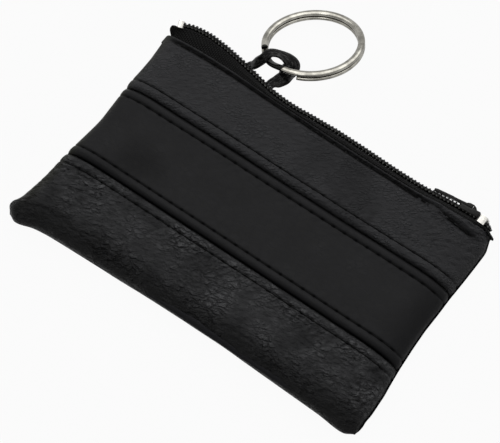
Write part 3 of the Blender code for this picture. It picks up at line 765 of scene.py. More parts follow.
def backPoint(x, y):
    # the back's relief only goes inwards, because the pouch lies flat on it
    base = bareBack(x, y)
    inward = np.zeros_like(base)
    inward[..., 2] = 1.0
    relief = -seamRelief(x, y, backForm["groove"], backForm["hole"]) + backForm["puff"] * bandPuff(y)
    place = np.stack([x, y, np.full_like(x, 5.0)], -1)
    wave = backForm["wave"] * (1 + fractal(place, backForm["waveLong"], 3, 4))
    relief = np.maximum(relief, 0) + np.maximum(wave, 0)
    return base + inward * (relief * ease(*rimForm["x"], abs(x)))[..., None], -inward


def edgeSteps(length, power, steps):
    turn = np.linspace(0, math.pi / 2, steps + 1)
    return length * np.sin(turn) ** (2 / power)


# steps between the rows and columns of the leather in mm, finer near the seams and the hem
leatherSteps = {
    "column": 0.34, "roll": 22, "coarse": 0.55, "middling": 0.3, "fine": 0.16,
    "seamNear": 4.4, "hemNear": 30.0, "least": 0.03,
}


def columnPlaces():
    roll = edgeSteps(pouch["frontRoll"], pouch["rollPower"], leatherSteps["roll"])
    start = pouch["halfWidth"] - pouch["frontRoll"]
    middle = np.linspace(-start, start, int(2 * start / leatherSteps["column"]) + 1)
    return np.concatenate([-(start + roll[:0:-1]), middle, start + roll[1:]])


def rowPlaces(low, high, coarse=leatherSteps["coarse"]):
    # rows close together near the seams and stitches and wider between them
    places, y = [low], low
    while y < high:
        distance = min(abs(y - seam) for seam in pouch["seams"])
        near = distance < leatherSteps["seamNear"] or y > leatherSteps["hemNear"]
        y = min(y + (leatherSteps["fine"] if near else coarse), high)
        places.append(y)
    if places[-1] - places[-2] < leatherSteps["least"]:
        places.pop(-2)
    return np.array(places)


xs = columnPlaces()
seamTop, seamLow = pouch["seams"]
slit = pouch["slit"]
tuck = {
    "steps": (1, 2, 3), "down": 0.4, "in": 0.08, "sideFar": (0.7, 0, -0.18), "sideNear": (0.2, 0, -0.18),
    "hemTurns": (30, 60, 90, 120, 150, 180),
}


def tucked(edge, alongY, alongZ):
    # rows that turn the edge of a panel into the seam
    return [edge + np.array([0, alongY * step, alongZ * step]) for step in tuck["steps"]]


def hemmed(edge, radius, downwards):
    # rows that turn the edge of a panel round and back under itself
    rows = []
    for turn in np.radians(tuck["hemTurns"]):
        rows.append(edge + np.array([0, radius * math.sin(turn), downwards * radius * (1 - math.cos(turn))]))
    return rows + [rows[-1] + np.array([0, -hemForm["turnBack"], 0.0])]


def closedSides(points):
    # turns both side edges in under the panel
    left, right = points[:, :1], points[:, -1:]
    far, near = np.array(tuck["sideFar"]), np.array(tuck["sideNear"])
    flip = np.array([-1, 1, 1])
    return np.concatenate([left + far, left + near, points, right + near * flip, right + far * flip], 1)


def leatherPiece(name, points, finish, slotName, node, shade=None):
    made = gridPiece(name, points, points[..., :2], shade=shade)
    return show(made, finish, slotName, "pouch", [node])


def frontPanel(low, high, hem=False):
    x, y = np.meshgrid(xs, rowPlaces(low, high))
    points, _ = frontPoint(x, y)
    lowRows = tucked(points[0], tuck["in"], -tuck["down"])[::-1]
    highRows = hemmed(points[-1], 0.5, -1) if hem else tucked(points[-1], -tuck["in"], -tuck["down"])
    shade = np.pad(darkness(x, y), ((len(lowRows), len(highRows)), (2, 2)), "edge")
    return closedSides(np.concatenate([lowRows, points, highRows])), shade


def bottomWrap():
    # from the back seam, round the fold and up to the front seam
    bottomY, back, front = -pouch["halfHeight"], pouch["backRoll"], pouch["frontRoll"]
    backFlat = np.linspace(seamLow - slit, bottomY + back, 44)
    backFold = bottomY + back - edgeSteps(back, 2.0, 9)[1:]
    frontFold = bottomY + (front - edgeSteps(front, pouch["rollPower"], 44)[::-1])[1:]
    frontFlat = rowPlaces(bottomY + front, seamLow - slit, leatherSteps["middling"])[1:]
    x, y = np.meshgrid(xs, np.concatenate([backFlat, backFold]))
    under, _ = backPoint(x, y)
    x, y = np.meshgrid(xs, np.concatenate([frontFold, frontFlat]))
    over, _ = frontPoint(x, y)
    inner = tucked(under[0], 0, tuck["down"])[::-1]
    outer = tucked(over[-1], 0, -tuck["down"])
    shade = np.pad(darkness(x, y), ((len(inner) + len(under), len(outer)), (0, 0)))
    return np.concatenate([inner, under, over, outer]), shade


def backPanel(low, high, hem=False):
    ys = np.concatenate([np.arange(low, high, leatherSteps["middling"]), [high]])[::-1]
    x, y = np.meshgrid(xs, ys)
    points, _ = backPoint(x, y)
    rows = hemmed(points[0], 0.45, 1) if hem else tucked(points[0], 0, tuck["down"])
    return np.concatenate([rows[::-1], points, tucked(points[-1], 0, tuck["down"])])


hemTop = pouch["halfHeight"] - pouch["hemTurn"]
points, shade = frontPanel(seamTop + slit, hemTop, hem=True)
leatherPiece("leather_front_top", points, topLeather, "grained_leather", "front_top_panel", shade)
points, shade = frontPanel(seamLow + slit, seamTop - slit)
leatherPiece("leather_front_strip", points, stripLeather, "smooth_leather", "front_centre_strip", shade)
points, shade = bottomWrap()
leatherPiece("leather_bottom_wrap", points, bottomLeather, "grained_leather", "bottom_panel", shade)
points = backPanel(seamLow + slit, seamTop - slit)
leatherPiece("leather_back_strip", points, stripLeather, "smooth_leather", "back_centre_strip")
points = backPanel(seamTop + slit, hemTop, hem=True)
leatherPiece("leather_back_top", points, topLeather, "grained_leather", "back_top_panel")
print("leather made")


stitch = {
    "radius": 0.17, "lift": 0.12, "dip": 0.4, "slant": 0.1, "backLift": 0.22,
    # the thread's course along one stitch: place, height and thickness as shares
    "placeShares": (0.03, 0.1, 0.25, 0.5, 0.75, 0.9, 0.97),
    "thickShares": (0.75, 1, 1.1, 1.15, 1.1, 1, 0.75),
}


def stitchRow(name, lineY, pitch, side, nodes=(), low=-54.0, high=54.0):
    # thread from hole to hole, dipping into the leather at both ends of each stitch
    starts = np.arange(math.ceil(low / pitch), math.floor(high / pitch)) * pitch
    shares = np.array(stitch["placeShares"])
    lift, dip = stitch["lift"], -stitch["dip"]
    heights = np.array([dip, -0.08, lift * 0.8, lift, lift * 0.8, -0.08, dip])[:, None]
    lines = []
    for start in starts:
        x = start + shares * pitch
        y = lineY(x) if callable(lineY) else np.full(len(x), lineY)
        y = y + stitch["slant"] * (shares - 0.5)
        if side == "front":
            points, normal = frontPoint(x, y)
            points = points + normal * heights
        else:
            points, normal = backPoint(x, y)
            points = points - normal * stitch["backLift"] - normal * np.abs(np.minimum(heights, 0))
        lines.append(points)
    made = tubes(name, lines, stitch["radius"], stitch["thickShares"], sides=2)
    return show(made, threadBlack, "thread", "pouch", nodes)


def hemStitchY(x):
    return pouch["halfHeight"] - np.interp(x, *hemStitch)


for index, (seam, turn) in enumerate(((seamTop, 1), (seamTop, -1), (seamLow, 1), (seamLow, -1))):
    y, pitch = seam + turn * seamForm["row"], seamForm["pitch"]
    stitchRow(f"front_thread_{index + 1}", y, pitch, "front", [f"front_stitch_row_{index + 1}"])
    stitchRow(f"back_thread_{index + 1}", y, pitch, "back", low=-51, high=51)
stitchRow("hem_thread", hemStitchY, hemForm["pitch"], "front", ["zip_stitch_row"], -51, 51)
for side in ("left", "right"):
    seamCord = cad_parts[f"side_stitch_{side}"]
    seamCord.data.materials.clear()
    seamCord.data.materials.append(threadBlack.material)
print("stitches made")


# the chain's line along the pouch, and the zip's own sizes, in mm and degrees
zipLine = (
    (
        -56, -53, -50, -46, -40, -35, -30, -25, -20, -15, -10, -8,
        2, 12, 22, 30, 35, 42, 46.5, 50, 53, 54.5, 56,
    ),
    (
        41.3, 42.75, 43.3, 43.55, 42.9, 42.0, 40.95, 39.8, 38.8, 38.4, 38.4, 38.6,
        38.9, 38.7, 38.3, 38.2, 38.4, 38.9, 39.1, 39.1, 38.9, 38.4, 37.2,
    ),
)
zipParts = {
    "height": 5.25, "reach": (-55.2, 54.6), "pitch": 1.2, "lip": (-42.0, -32.4, 32.4, 42.0),
    "lean": 20, "leftLean": 4, "leftX": (-28, -40),
}
# a tape's height inside the leather, its line from there to the edge behind the coil, and its ends
tape = {
    "frontDown": 1.3, "backUp": 2.75, "fromHem": (-5.5, -0.4, 0.5), "bend": (-1.25, 2.15), "belly": 0.25,
    "edge": ((-0.98, 1.75), (-0.84, 1.3), (-0.8, 0.5)), "hemShare": 0.345,
    "end": 55.3, "endFrom": 48, "endCut": 2.8, "thick": 0.3, "ripple": 0.1, "rippleLong": 6.0, "uvWide": 14,
    # each end's plain reach, its bulge with place and width, and how much its tip is cut
    "leftEnd": (56.2, 1.7, 0.68, 0.26, 0.0), "rightEnd": (55.9, 0.5, 0.5, 0.3, 0.9),
}
zipLine = softened(zipLine, -57, 57, 229, 4)


def chainY(x):
    return np.interp(x, *zipLine)


def lean(x):
    # how far the chain leans back from upright, most at its left end
    return np.radians(zipParts["lean"] + zipParts["leftLean"] * ease(*zipParts["leftX"], x))


def chainPoint(x, out, up):
    # a place at x that lies out from the chain's middle and up across it
    turn = lean(x)
    y = chainY(x) + out * np.cos(turn) - up * np.sin(turn)
    return y, zipParts["height"] + up * np.cos(turn) + out * np.sin(turn)


def tapePoint(x, share, facing):
    # share 0 is inside the leather, 1 is the tape's edge behind the coil
    x, share = np.broadcast_arrays(np.asarray(x, float), share)
    hem = pouch["halfHeight"] + np.interp(x, *hemEdge)
    frontZ, backZ = (bare(x, np.zeros_like(x))[..., 2] for bare in (bareFront, bareBack))
    room = (frontZ - backZ) / pouch["thickness"]
    flat = frontZ - tape["frontDown"] * room if facing > 0 else backZ + tape["backUp"] * room
    knots = [(hem + out, flat) for out in tape["fromHem"]]
    out, up = tape["bend"]
    bend = chainPoint(x, out, up * facing)
    middle = ((knots[-1][0] + bend[0]) / 2, (flat + bend[1]) / 2 + tape["belly"] * facing)
    knots += [middle, bend] + [chainPoint(x, out, up * facing) for out, up in tape["edge"]]
    places = (0.0, 0.25, tape["hemShare"], 0.58, 0.78, 0.85, 0.91, 1.0)
    result = np.zeros(x.shape + (3,))
    result[..., 0] = x
    for low in range(len(places) - 1):
        inside = (share >= places[low]) & (share <= places[low + 1] + 1e-9)
        part = np.clip((share - places[low]) / (places[low + 1] - places[low]), 0, 1)
        for axis in (0, 1):
            value = knots[low][axis] + (knots[low + 1][axis] - knots[low][axis]) * part
            result[..., axis + 1] = np.where(inside, value, result[..., axis + 1])
    field = np.stack([x, share * 6, share * 0 + facing], -1)
    ripple = tape["ripple"] * fractal(field, tape["rippleLong"], 2, 5)
    result[..., 2] += facing * ripple * ease(tape["hemShare"], 0.5, share) * ease(0.95, 0.8, share)
    return result


def endReach(share, side):
    # how far the rounded end of the tape reaches out at each share of its width
    plain, bulge, middle, wide, cut = tape["leftEnd" if side < 0 else "rightEnd"]
    return plain + bulge * hill(share - middle, wide) - cut * ease(0.75, 1.0, share)


tapeEnd, hemShare = tape["end"], tape["hemShare"]
lipLeft0, lipLeft1, lipRight0, lipRight1 = zipParts["lip"]
leftBend = ("lip", (lipLeft0, 0, 0), (lipLeft1, 0, 0))
rightBend = ("pouch", (lipRight0, 0, 0), (lipRight1, 0, 0))


def tapeGrid(name, x, share, facing, **placing):
    uv = np.stack([x, share * tape["uvWide"]], -1)
    made = gridPiece(name, tapePoint(x, share, facing), uv, flip=facing < 0)
    return show(asMesh(thickened(made, tape["thick"])), tapeCloth, "zip_tape", angle=50, **placing)


def tapePiece(name, lowX, highX, lowShare, facing, **placing):
    # a length of tape, with a rounded end where it reaches the tape's own end
    columns = max(int((highX - lowX) / 0.5), 3)
    shares = np.linspace(lowShare, 1, int(46 * (1 - lowShare)) + 4)
    x, share = np.meshgrid(np.linspace(lowX, highX, columns), shares)
    for side, end in ((-1, lowX), (1, highX)):
        if abs(end) == tapeEnd:
            start = tape["endFrom"]
            x = x + side * (endReach(share, side) - tapeEnd) * ease(start, tapeEnd, side * x)
            x = x - side * tape["endCut"] * ease(start, tapeEnd, side * x) * ease(0.34, 0.2, share)
    return tapeGrid(name, x, share, facing, **placing)


sewn = np.meshgrid(np.linspace(lipLeft0, lipRight1, 180), np.linspace(0, hemShare, 12))
tapeGrid("tape_front_sewn", *sewn, 1, body="pouch", nodes=["zip_tape_front"])
tapePiece("tape_front_end_left", -tapeEnd, lipLeft0, 0.0, 1, body="pouch")
tapePiece("tape_front_end_right", lipRight1, tapeEnd, 0.0, 1, body="pouch")
tapePiece("tape_lip_left", lipLeft0, lipLeft1, hemShare, 1, body="pouch", blendTo=leftBend)
tapePiece("tape_lip", lipLeft1, lipRight0, hemShare, 1, body="lip", nodes=["zip_tape_lip"])
tapePiece("tape_lip_right", lipRight0, lipRight1, hemShare, 1, body="lip", blendTo=rightBend)
tapePiece("tape_back", -tapeEnd, tapeEnd, 0.0, -1, body="pouch", nodes=["zip_tape_back"])


coil = {
    "wire": 0.35, "filler": 0.3, "fillerUp": (0.2, 0.8, 1.35), "perTurn": 18, "power": 0.95,
    "headUp": -0.32, "tailUp": 2.05, "headOut": 0.1, "leftX": (-16, -36), "tabX": ((33, 36), (44.5, 43)),
    # how far the turns reach out, front and back, and how much more towards the left and under the tab
    "frontOut": 0.5, "backOut": 0.3, "frontBulge": 0.5, "backBulge": 0.25, "tabBulge": 0.3,
    "glintOut": -0.27, "glintLong": 0.18, "glintWide": 0.2, "glintPhase": 0.6,  # the painted highlights on the turns
}


def ovalLoop(turn, power):
    # cosine and sine of a turn; a power below 1 makes their round fuller
    waves = np.cos(turn), np.sin(turn)
    return [np.sign(wave) * np.abs(wave) ** power for wave in waves]


def coilLine(lowX, highX, facing):
    # a flattened helix: heads at the middle of the chain, turns at the tape's edge
    pitch, perTurn = zipParts["pitch"], coil["perTurn"]
    shift = 0.0 if facing > 0 else 0.5
    first = math.ceil(lowX / pitch - shift - 0.01) + shift
    turns = int((highX - first * pitch) / pitch + 0.01)
    t = np.arange(turns * perTurn + 1) / perTurn
    across, out = ovalLoop(2 * np.pi * t, coil["power"])  # 1 across is the head
    x = (first + t) * pitch
    head, tail = coil["headUp"] * facing, coil["tailUp"] * facing
    dz = (head + tail) / 2 - across * (tail - head) / 2
    left = ease(*coil["leftX"], x)
    tabbed = np.prod([ease(*limits, x) for limits in coil["tabX"]], axis=0)
    bulge = 1 + coil["frontBulge" if facing > 0 else "backBulge"] * left + coil["tabBulge"] * tabbed
    reach = coil["frontOut" if facing > 0 else "backOut"]  # the back half hides behind the front one
    dy = out * (reach + coil["headOut"] * (across > 0.3)) * np.where(out > 0, bulge, 1)
    return np.stack([x, *chainPoint(x, dy, dz)], -1)


def paintGlints(made):
    # marks the front of each turn's top for a painted highlight, which is paler than the rest
    x, y, z = pointPlaces(made.data).T / mm
    turn, y, z = lean(x), y - chainY(x), z - zipParts["height"]
    out, up = y * np.cos(turn) + z * np.sin(turn), z * np.cos(turn) - y * np.sin(turn)
    phase = rowPhase(x - coil["glintPhase"] * zipParts["pitch"], zipParts["pitch"])
    glint = hill(out - coil["glintOut"], coil["glintLong"]) * hill(phase, coil["glintWide"])
    markPoints(made.data, "paleMark", np.clip(glint * ease(1.0, 1.4, up) * 1.3, 0, 1))


def coilPiece(name, lowX, highX, facing, **placing):
    # the coil and the filler cords that run inside it
    loops = tubes("part", [coilLine(lowX, highX, facing)], coil["wire"])
    x = np.linspace(lowX, highX, max(int((highX - lowX) / 0.6), 3))
    cords = [np.stack([x, *chainPoint(x, x * 0, facing * up)], -1) for up in coil["fillerUp"]]
    made = joined(name, [loops, tubes("part", cords, coil["filler"])])
    if facing > 0:
        paintGlints(made)
    return show(made, coilNylon, "zip_coil", **placing)


reachLeft, reachRight = zipParts["reach"]
coilPiece("coil_front_left", reachLeft, lipLeft0, 1, body="pouch", nodes=["zip_coil_front_left"])
coilPiece("coil_lip_left", lipLeft0, lipLeft1, 1, body="pouch", blendTo=leftBend)
coilPiece("coil_lip_middle", lipLeft1, lipRight0, 1, body="lip", nodes=["zip_coil_lip"])
coilPiece("coil_lip_right", lipRight0, lipRight1, 1, body="lip", blendTo=rightBend)
coilPiece("coil_front_right", lipRight1, reachRight, 1, body="pouch", nodes=["zip_coil_front_right"])
coilPiece("coil_back", reachLeft, reachRight, -1, body="pouch", nodes=["zip_coil_back"])


def standing(x, y, slope, tilt):
    # puts a piece that is made at the origin upright on the chain
    place = Matrix.Translation(Vector((x, y, zipParts["height"])) * mm)
    return place @ Matrix.Rotation(slope, 4, "Z") @ Matrix.Rotation(tilt, 4, "X")


stop = {"wall": 0.5, "innerFace": -0.85, "outerFaces": {"left": 0.75, "right": 1.0}, "bevel": 0.16}


def stopPiece(name, x, length, inner, outer, side, node):
    # a crimp in its own Y and Z, laid along the chain at x
    wall, back, face = stop["wall"], stop["innerFace"], stop["outerFaces"][side]
    outline = [(back, outer), (face, outer), (face, inner)]
    if inner * outer < -1:  # round both halves of the chain
        outline += [(back, inner), (back, inner - wall), (face + wall, inner - wall)]
    else:
        outline += [(face + wall, inner)]
    lip = outer + math.copysign(wall, outer)
    outline += [(face + wall, lip), (back, lip)]
    made = flatPlate(name, [outline], length, stop["bevel"])
    slope = math.atan2(chainY(x + 1) - chainY(x - 1), 2)
    upright = Matrix(((0, 0, 1), (1, 0, 0), (0, 1, 0))).to_4x4()
    made.data.transform(standing(x, float(chainY(x)), slope, float(lean(x))) @ upright)
    return show(made, crimpMetal, "stop_metal", "pouch", [node], angle=50)


stopPiece("stop_left", -55.6, 1.7, -2.3, 2.3, "left", "zip_stop_left")
stopPiece("stop_right_front", 51.3, 2.3, 0.45, 2.3, "right", "zip_stop_right_front")
stopPiece("stop_right_back", 51.3, 2.3, -0.45, -2.3, "right", "zip_stop_right_back")
print("zip made")


slider = {
    "x": 46.5, "length": 6.6, "tail": 4.4, "wide": 5.6, "inner": 2.6, "plate": 0.4,
    "outerFace": 0.85, "innerFace": -1.75, "tabOut": 1.8, "droop": 3.4, "tabThick": 0.78,
    "post": 0.2, "lip": 1.5, "lipHigh": 0.32, "flange": (2.3, 2.78), "flangeFrom": -0.25, "bailWide": 1.6,
    "travelCentre": (20.0, 482.4), "travelRadius": 444.0,
    # shares of the plate's half length and of its width at the tail and at the nose
    "tailLine": ((-1, 0.36), (-0.9, 0.47), (-0.75, 0.5), (-0.1, 0.5)),
    "noseLine": ((0.3, 0.5), (0.78, 0.5), (0.93, 0.44), (1, 0.33)),
}
# the bail from its side, outer and then inner line, and half of the tab, its eye and its panel, in mm
bailLine = (
    (-2.2, -0.3), (-1.9, 0.65), (-1.4, 1.12), (-0.7, 1.36), (0.5, 1.36), (1.25, 1.05), (1.75, 0.5),
    (1.95, -0.3), (0.62, -0.3), (0.6, 0.7), (0.4, 1.0), (-0.4, 1.0), (-0.6, 0.7), (-0.62, -0.3),
)
tabLine = ((0.4, 1.3), (0.1, 1.62), (-4.2, 1.65), (-5.2, 1.9), (-10.9, 1.9), (-11.45, 1.4), (-11.55, 0.9))
eyeLine = ((-0.4, 0.85), (-0.65, 1.05), (-4.0, 1.05), (-4.2, 0.85))
panelLine = ((-5.6, 1.25), (-10.6, 1.25), (-10.9, 0.95))


def mirrored(line):
    # a closed outline from one half of it
    return list(line) + [(x, -z) for x, z in reversed(line)]


def onChain(made, inner=Matrix()):
    # lays a piece that is made at the origin on the chain where the slider is parked
    centreX, centreY = slider["travelCentre"]
    away, radius = slider["x"] - centreX, slider["travelRadius"]
    y = centreY - math.sqrt(radius ** 2 - away ** 2)
    place = standing(slider["x"], y, math.asin(away / radius), math.radians(zipParts["lean"]))
    made.data.transform(place @ inner)


def sliderPlate(tail, wide, y):
    # one plate, narrow at its tail and wide at its nose, lying upright at y
    half = slider["length"] / 2
    line = [(half * along, -tail * out) for along, out in slider["tailLine"]]
    line += [(half * along, -wide * out) for along, out in slider["noseLine"]]
    made = flatPlate("part", [mirrored(line)], slider["plate"], 0.2)
    made.data.transform(Matrix.Translation((0, y * mm, 0)) @ Matrix.Rotation(math.pi / 2, 4, "X"))
    return made


def sliderPiece():
    half, plate, post, lip = slider["length"] / 2, slider["plate"], slider["post"], slider["lip"]
    outerY, innerY = slider["outerFace"] + plate / 2, slider["innerFace"] - plate / 2
    face = outerY + plate / 2
    noseTop = face + slider["lipHigh"]
    parts = [sliderPlate(slider["tail"], slider["wide"], outerY)]
    parts.append(sliderPlate(slider["inner"] * 0.85, slider["inner"], innerY))
    parts.append(block("part", (-half * 0.5, innerY, -post), (half * 0.5, outerY, post), 0.08, 2))
    parts.append(block("part", (half * 0.52, outerY, -lip), (half * 0.95, noseTop, lip), 0.15))
    for side in (-1, 1):
        low, high = sorted(side * z for z in slider["flange"])
        corner = (half * 0.93, outerY, high)
        parts.append(block("part", (-half * 0.8, slider["flangeFrom"], low), corner, 0.15))
    bail = flatPlate("part", [bailLine], slider["bailWide"], 0.15)
    bail.data.transform(Matrix.Translation((0, face * mm, 0)))
    made = joined("zip_slider", parts + [bail])
    onChain(made)
    return show(made, lacquer, "slider_metal", "slider", ["slider_body"], angle=40)


def tabPiece():
    # the tab narrows to an eye round the bail and ends square, with cut corners
    thick = slider["tabThick"]
    plate = flatPlate("part", [mirrored(tabLine), mirrored(eyeLine)[::-1]], thick, 0.2)
    panel = flatPlate("part", [mirrored(panelLine)], 0.24, 0.1, 2)
    panel.data.transform(Matrix.Translation((0, 0, -thick / 2 * mm)))
    made = joined("slider_pull", [plate, panel])
    made.data.transform(Matrix.Rotation(math.pi / 2, 4, "X"))
    droop = Matrix.Rotation(math.radians(slider["droop"]), 4, "Z")
    onChain(made, Matrix.Translation((0, slider["tabOut"] * mm, 0)) @ droop)
    return show(made, lacquer, "slider_metal", "pull_tab", ["pull_tab"], angle=40)


sliderPiece()
tabPiece()
print("slider made")


strap = {
    "thickness": 0.85, "sides": 30, "power": 0.7, "ridge": 0.13, "ridges": 1.5, "wobble": 0.05,
    "loopFacing": (0.243, -0.34, 0.909), "loopFrom": (43.4, 44.6),
    "bend": ("strap", (-27, 42.8, 1.5), (-27, 44.4, 1.5)),
    # place and width of the band from its left end round the loop to its right end
    "path": (
        (-32.1, 33.0, 1.9, 3.0), (-32.1, 40.0, 1.55, 3.0), (-32.3, 43.1, 1.8, 3.4),
        (-31.5, 43.7, 3.2, 3.4), (-30.1, 44.2, 5.6, 3.3), (-28.5, 44.87, 8.4, 3.0),
        (-27.5, 46.0, 10.4, 2.9), (-26.4, 46.95, 11.0, 2.5), (-24.2, 47.75, 11.0, 2.5),
        (-21.8, 48.0, 10.4, 3.6), (-20.3, 47.7, 9.0, 5.0), (-20.5, 47.1, 7.0, 5.2),
        (-21.1, 46.8, 4.9, 4.9), (-21.5, 46.6, 3.2, 4.6), (-21.8, 46.2, 2.1, 4.4),
        (-22.3, 45.4, 1.65, 4.2), (-22.9, 44.2, 1.55, 3.9), (-23.6, 43.2, 1.55, 3.4),
        (-24.0, 42.0, 1.55, 3.0), (-24.0, 40.0, 1.55, 3.0), (-24.0, 33.0, 1.9, 3.0),
    ),
}


def smoothPath(points, steps):
    # a soft line through points
    points = np.asarray(points, float)
    padded = np.concatenate([2 * points[:1] - points[1:2], points, 2 * points[-1:] - points[-2:-1]])
    shares = (np.arange(steps) / steps)[:, None]
    result = []
    for i in range(len(points) - 1):
        a, b, c, d = padded[i:i + 4]
        bend, twist = 2 * a - 5 * b + 4 * c - d, 3 * b - a - 3 * c + d
        result.extend(0.5 * (2 * b + (c - a) * shares + bend * shares ** 2 + twist * shares ** 3))
    return np.array(result + [points[-1]])


def strapPiece():
    # a band with folded edges and lengthwise ridges, swept along the loop
    band = smoothPath(strap["path"], 7)
    path, half = band[:, :3], band[:, 3] / 2
    along = unit(np.gradient(path, axis=0))
    looped = ease(*strap["loopFrom"], path[:, 1])[:, None]
    facing = unit(np.array([0, 0, 1.0]) * (1 - looped) + np.array(strap["loopFacing"]) * looped)
    across = unit(np.cross(facing, along))
    for _ in range(6):  # evens out the band's twist
        across[1:-1] = unit(across[:-2] + across[1:-1] + across[2:])
    normal = unit(np.cross(along, across))
    sides = np.arange(strap["sides"] + 1)
    c, s = ovalLoop(sides % strap["sides"] * (2 * np.pi / strap["sides"]), strap["power"])
    ridges = strap["ridge"] * np.cos(c * 2 * np.pi * strap["ridges"]) * (abs(s) > 0.3)
    thick = s * (strap["thickness"] / 2 + ridges)
    points = path + across * (c[:, None] * half)[..., None] + normal * thick[:, None, None]
    points = points + normal * (strap["wobble"] * fractal(points, 1.6, 3, 6))[..., None]
    length = np.concatenate([[0], np.cumsum(np.linalg.norm(np.diff(path, axis=0), axis=1))])
    uv = np.stack(np.broadcast_arrays(length, (sides * 0.3)[:, None]), -1)
    made = welded(gridPiece("ring_strap", points, uv, flip=True), 0.0005)
    nodes = ["strap_end_left", "strap_end_right", "strap_loop"]
    return show(made, strapBlack, "strap_leather", "pouch", nodes, strap["bend"])


ring = {
    "centre": (-19.622, 57.9, 7.132), "towards": (0.39186, 0.91342, -0.11002),
    "normal": (-0.2556, 0.2408, 0.9363), "radius": 14.25, "wide": 2.1, "high": 1.3, "gap": 0.22,
    "stepStart": 0.47, "step": 0.09, "steps": 300, "sides": 20, "power": 0.8, "endBevel": 0.12,
}


def ringPiece():
    # nearly two turns of flat wire, with a short step where it goes from one level to the other
    step, first = ring["step"], ring["stepStart"] + ring["step"] / 2
    turns = np.linspace(0, 1, ring["steps"] + 1) * (2 - 2 * step) + step
    level = 2 * ease(1 - step / 2, 1 + step / 2, turns) - 1
    angle = (turns + first) * 2 * np.pi
    c, s = ovalLoop(np.linspace(0, 2 * np.pi, ring["sides"] + 1), ring["power"])
    radius = ring["radius"] + (c * ring["wide"] / 2)[:, None]
    height = level * (ring["high"] + ring["gap"]) / 2 + (s * ring["high"] / 2)[:, None]
    local = np.stack([radius * np.cos(angle), radius * np.sin(angle), height], -1)
    up = unit(np.array(ring["normal"]))
    away = unit(np.array(ring["towards"]) - np.dot(ring["towards"], up) * up)
    points = local @ np.array([away, np.cross(up, away), up]) + np.array(ring["centre"])
    made = gridPiece("ring_wire", points)
    bm = bmesh.new()
    bm.from_mesh(made.data)
    bmesh.ops.remove_doubles(bm, verts=bm.verts, dist=0.0005 * mm)
    ends = [e for e in bm.edges if e.is_boundary]
    caps = bmesh.ops.holes_fill(bm, edges=ends, sides=0)["faces"]
    rim = list({edge for face in caps for edge in face.edges})
    bmesh.ops.bevel(bm, geom=rim, segments=2, **rounding(ring["endBevel"]))
    bmesh.ops.recalc_face_normals(bm, faces=bm.faces)
    bm.to_mesh(made.data)
    bm.free()
    return show(made, ringNickel, "ring_nickel", "ring", ["split_ring"], angle=60)


strapPiece()
ringPiece()
print("strap and ring made")


lining = {
    "top": 33.6, "fold": -31.5, "foldReach": 1.6, "front": 7.35, "back": 1.75, "halfWidth": 52.6,
    "middle": 4.4, "sideFrom": 42, "foldFrom": -22, "sideFlat": 0.85, "foldFlat": 0.45, "wave": 0.35,
    "waveTop": 31.5, "thick": 0.2,
}


def liningPiece():
    # one cloth folded at the bottom, inside the leather
    top, low, front, back = (lining[key] for key in ("top", "fold", "front", "back"))
    wide, middle = lining["halfWidth"], lining["middle"]
    high = np.linspace(top, low, 70)
    turn = np.linspace(0, np.pi, 12)[1:-1]
    y = np.concatenate([high, low - lining["foldReach"] * np.sin(turn), high[::-1]])
    bow = (front + back) / 2 + (front - back) / 2 * np.cos(turn)
    z = np.concatenate([np.full(len(high), front), bow, np.full(len(high), back)])
    x, yy = np.meshgrid(np.linspace(-wide, wide, 160), y)
    side = ease(lining["sideFrom"], wide, abs(x))
    flatter = (1 - lining["sideFlat"] * side) * (1 - lining["foldFlat"] * ease(lining["foldFrom"], low, yy))
    zz = middle + (z[:, None] - middle) * flatter
    wave = lining["wave"] * (0.6 + fractal(np.stack([x, yy, zz * 3], -1), 9.0, 3, 7))
    zz = zz - np.sign(zz - middle) * wave * (1 - side) * ease(top, lining["waveTop"], yy)
    length = np.concatenate([[0], np.cumsum(np.hypot(np.diff(y), np.diff(z)))])
    uv = np.stack(np.broadcast_arrays(x, length[:, None]), -1)
    made = thickened(gridPiece("lining_cloth", np.stack([x, yy, zz], -1), uv), lining["thick"])
    return show(made, liningCloth, "lining", "pouch", ["lining_pocket"])


liningPiece()
print("lining made")


view = {
    "target": (-1.003, -0.241, 9.0), "azimuth": 35.51, "elevation": 65.29, "distance": 450.0, "lens": 116.31,
    "keyPower": 10.5, "keySize": 1.4, "lampDistance": 1.0, "keyAzimuth": (-0.45, 0.89), "keyElevation": 58,
    "fillPower": 0.9, "fillSize": 0.26, "fillAzimuth": (-0.6, -0.8), "fillElevation": 66,
    "sky": 0.2, "floorSize": 3.0, "floorColour": (0.3, 0.3, 0.3, 1), "floorGlow": 0.95,
}


def lookBack(made, away):
    # turns a camera or lamp that was moved away to look back
    made.rotation_mode = "QUATERNION"
    made.rotation_quaternion = (-away).to_track_quat("-Z", "Y")


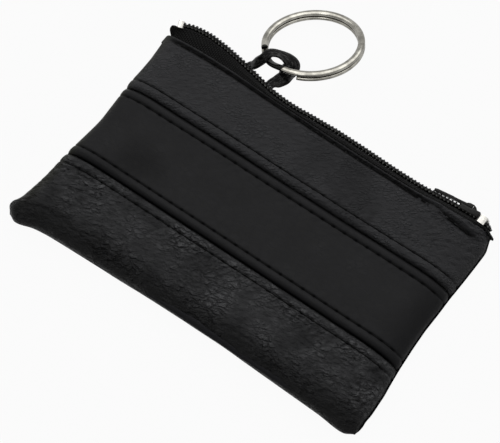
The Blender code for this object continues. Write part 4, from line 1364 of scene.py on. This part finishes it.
def addCamera():
    a, e = math.radians(view["azimuth"]), math.radians(view["elevation"])
    away = Vector((math.sin(a) * math.cos(e), -math.cos(a) * math.cos(e), math.sin(e)))
    camera = bpy.data.cameras.new("camera")
    camera.lens, camera.sensor_width = view["lens"], 36
    scene.camera = newObject("camera", camera)
    scene.camera.location = (Vector(view["target"]) + away * view["distance"]) * mm
    lookBack(scene.camera, away)


def addLamp(kind):
    # a soft round lamp that looks at the pouch
    lamp = bpy.data.lights.new(kind, "AREA")
    lamp.shape, lamp.size, lamp.energy = "DISK", view[kind + "Size"], view[kind + "Power"]
    made = newObject(kind + "_lamp", lamp)
    e, (x, y) = math.radians(view[kind + "Elevation"]), view[kind + "Azimuth"]
    away = Vector((x * math.cos(e), y * math.cos(e), math.sin(e))).normalized()
    made.location = away * view["lampDistance"]
    lookBack(made, away)


def addWorld():
    # dim light on the object, white where the background is seen
    world = bpy.data.worlds.new("studio")
    scene.world = world
    world.use_nodes = True
    made = Nodes(world.node_tree)
    background = made.tree.nodes["Background"]
    background.inputs["Color"].default_value = (1, 1, 1, 1)
    levels = {"Value": made.backgroundRays(), "To Min": view["sky"], "To Max": 1.0}
    strength = made.add("ShaderNodeMapRange", None, levels)
    made.tree.links.new(strength.socket, background.inputs["Strength"])


def addFloor():
    # a pale floor that keeps the shadow and glows to white where it is seen
    made = Finish("pale_floor", Roughness=0.9, Specular_IOR_Level=0.0)
    made.shader.inputs["Base Color"].default_value = view["floorColour"]
    glow = made.add("ShaderNodeEmission", None, {"Color": (1, 1, 1, 1), "Strength": 1.0})
    matte = Signal(made, made.shader.outputs[0])
    share = made.backgroundRays() * view["floorGlow"]
    mixed = made.add("ShaderNodeMixShader", None, {0: share, 1: matte, 2: glow})
    made.tree.links.new(mixed.socket, made.tree.nodes["Material Output"].inputs["Surface"])
    bm = bmesh.new()
    bmesh.ops.create_grid(bm, x_segments=1, y_segments=1, size=view["floorSize"])
    floor = objectOf("floor", bm)
    floor.data.materials.append(made.material)


addCamera()
addLamp("key")
addLamp("fill")
addWorld()
addFloor()
scene.view_settings.view_transform = "Standard"
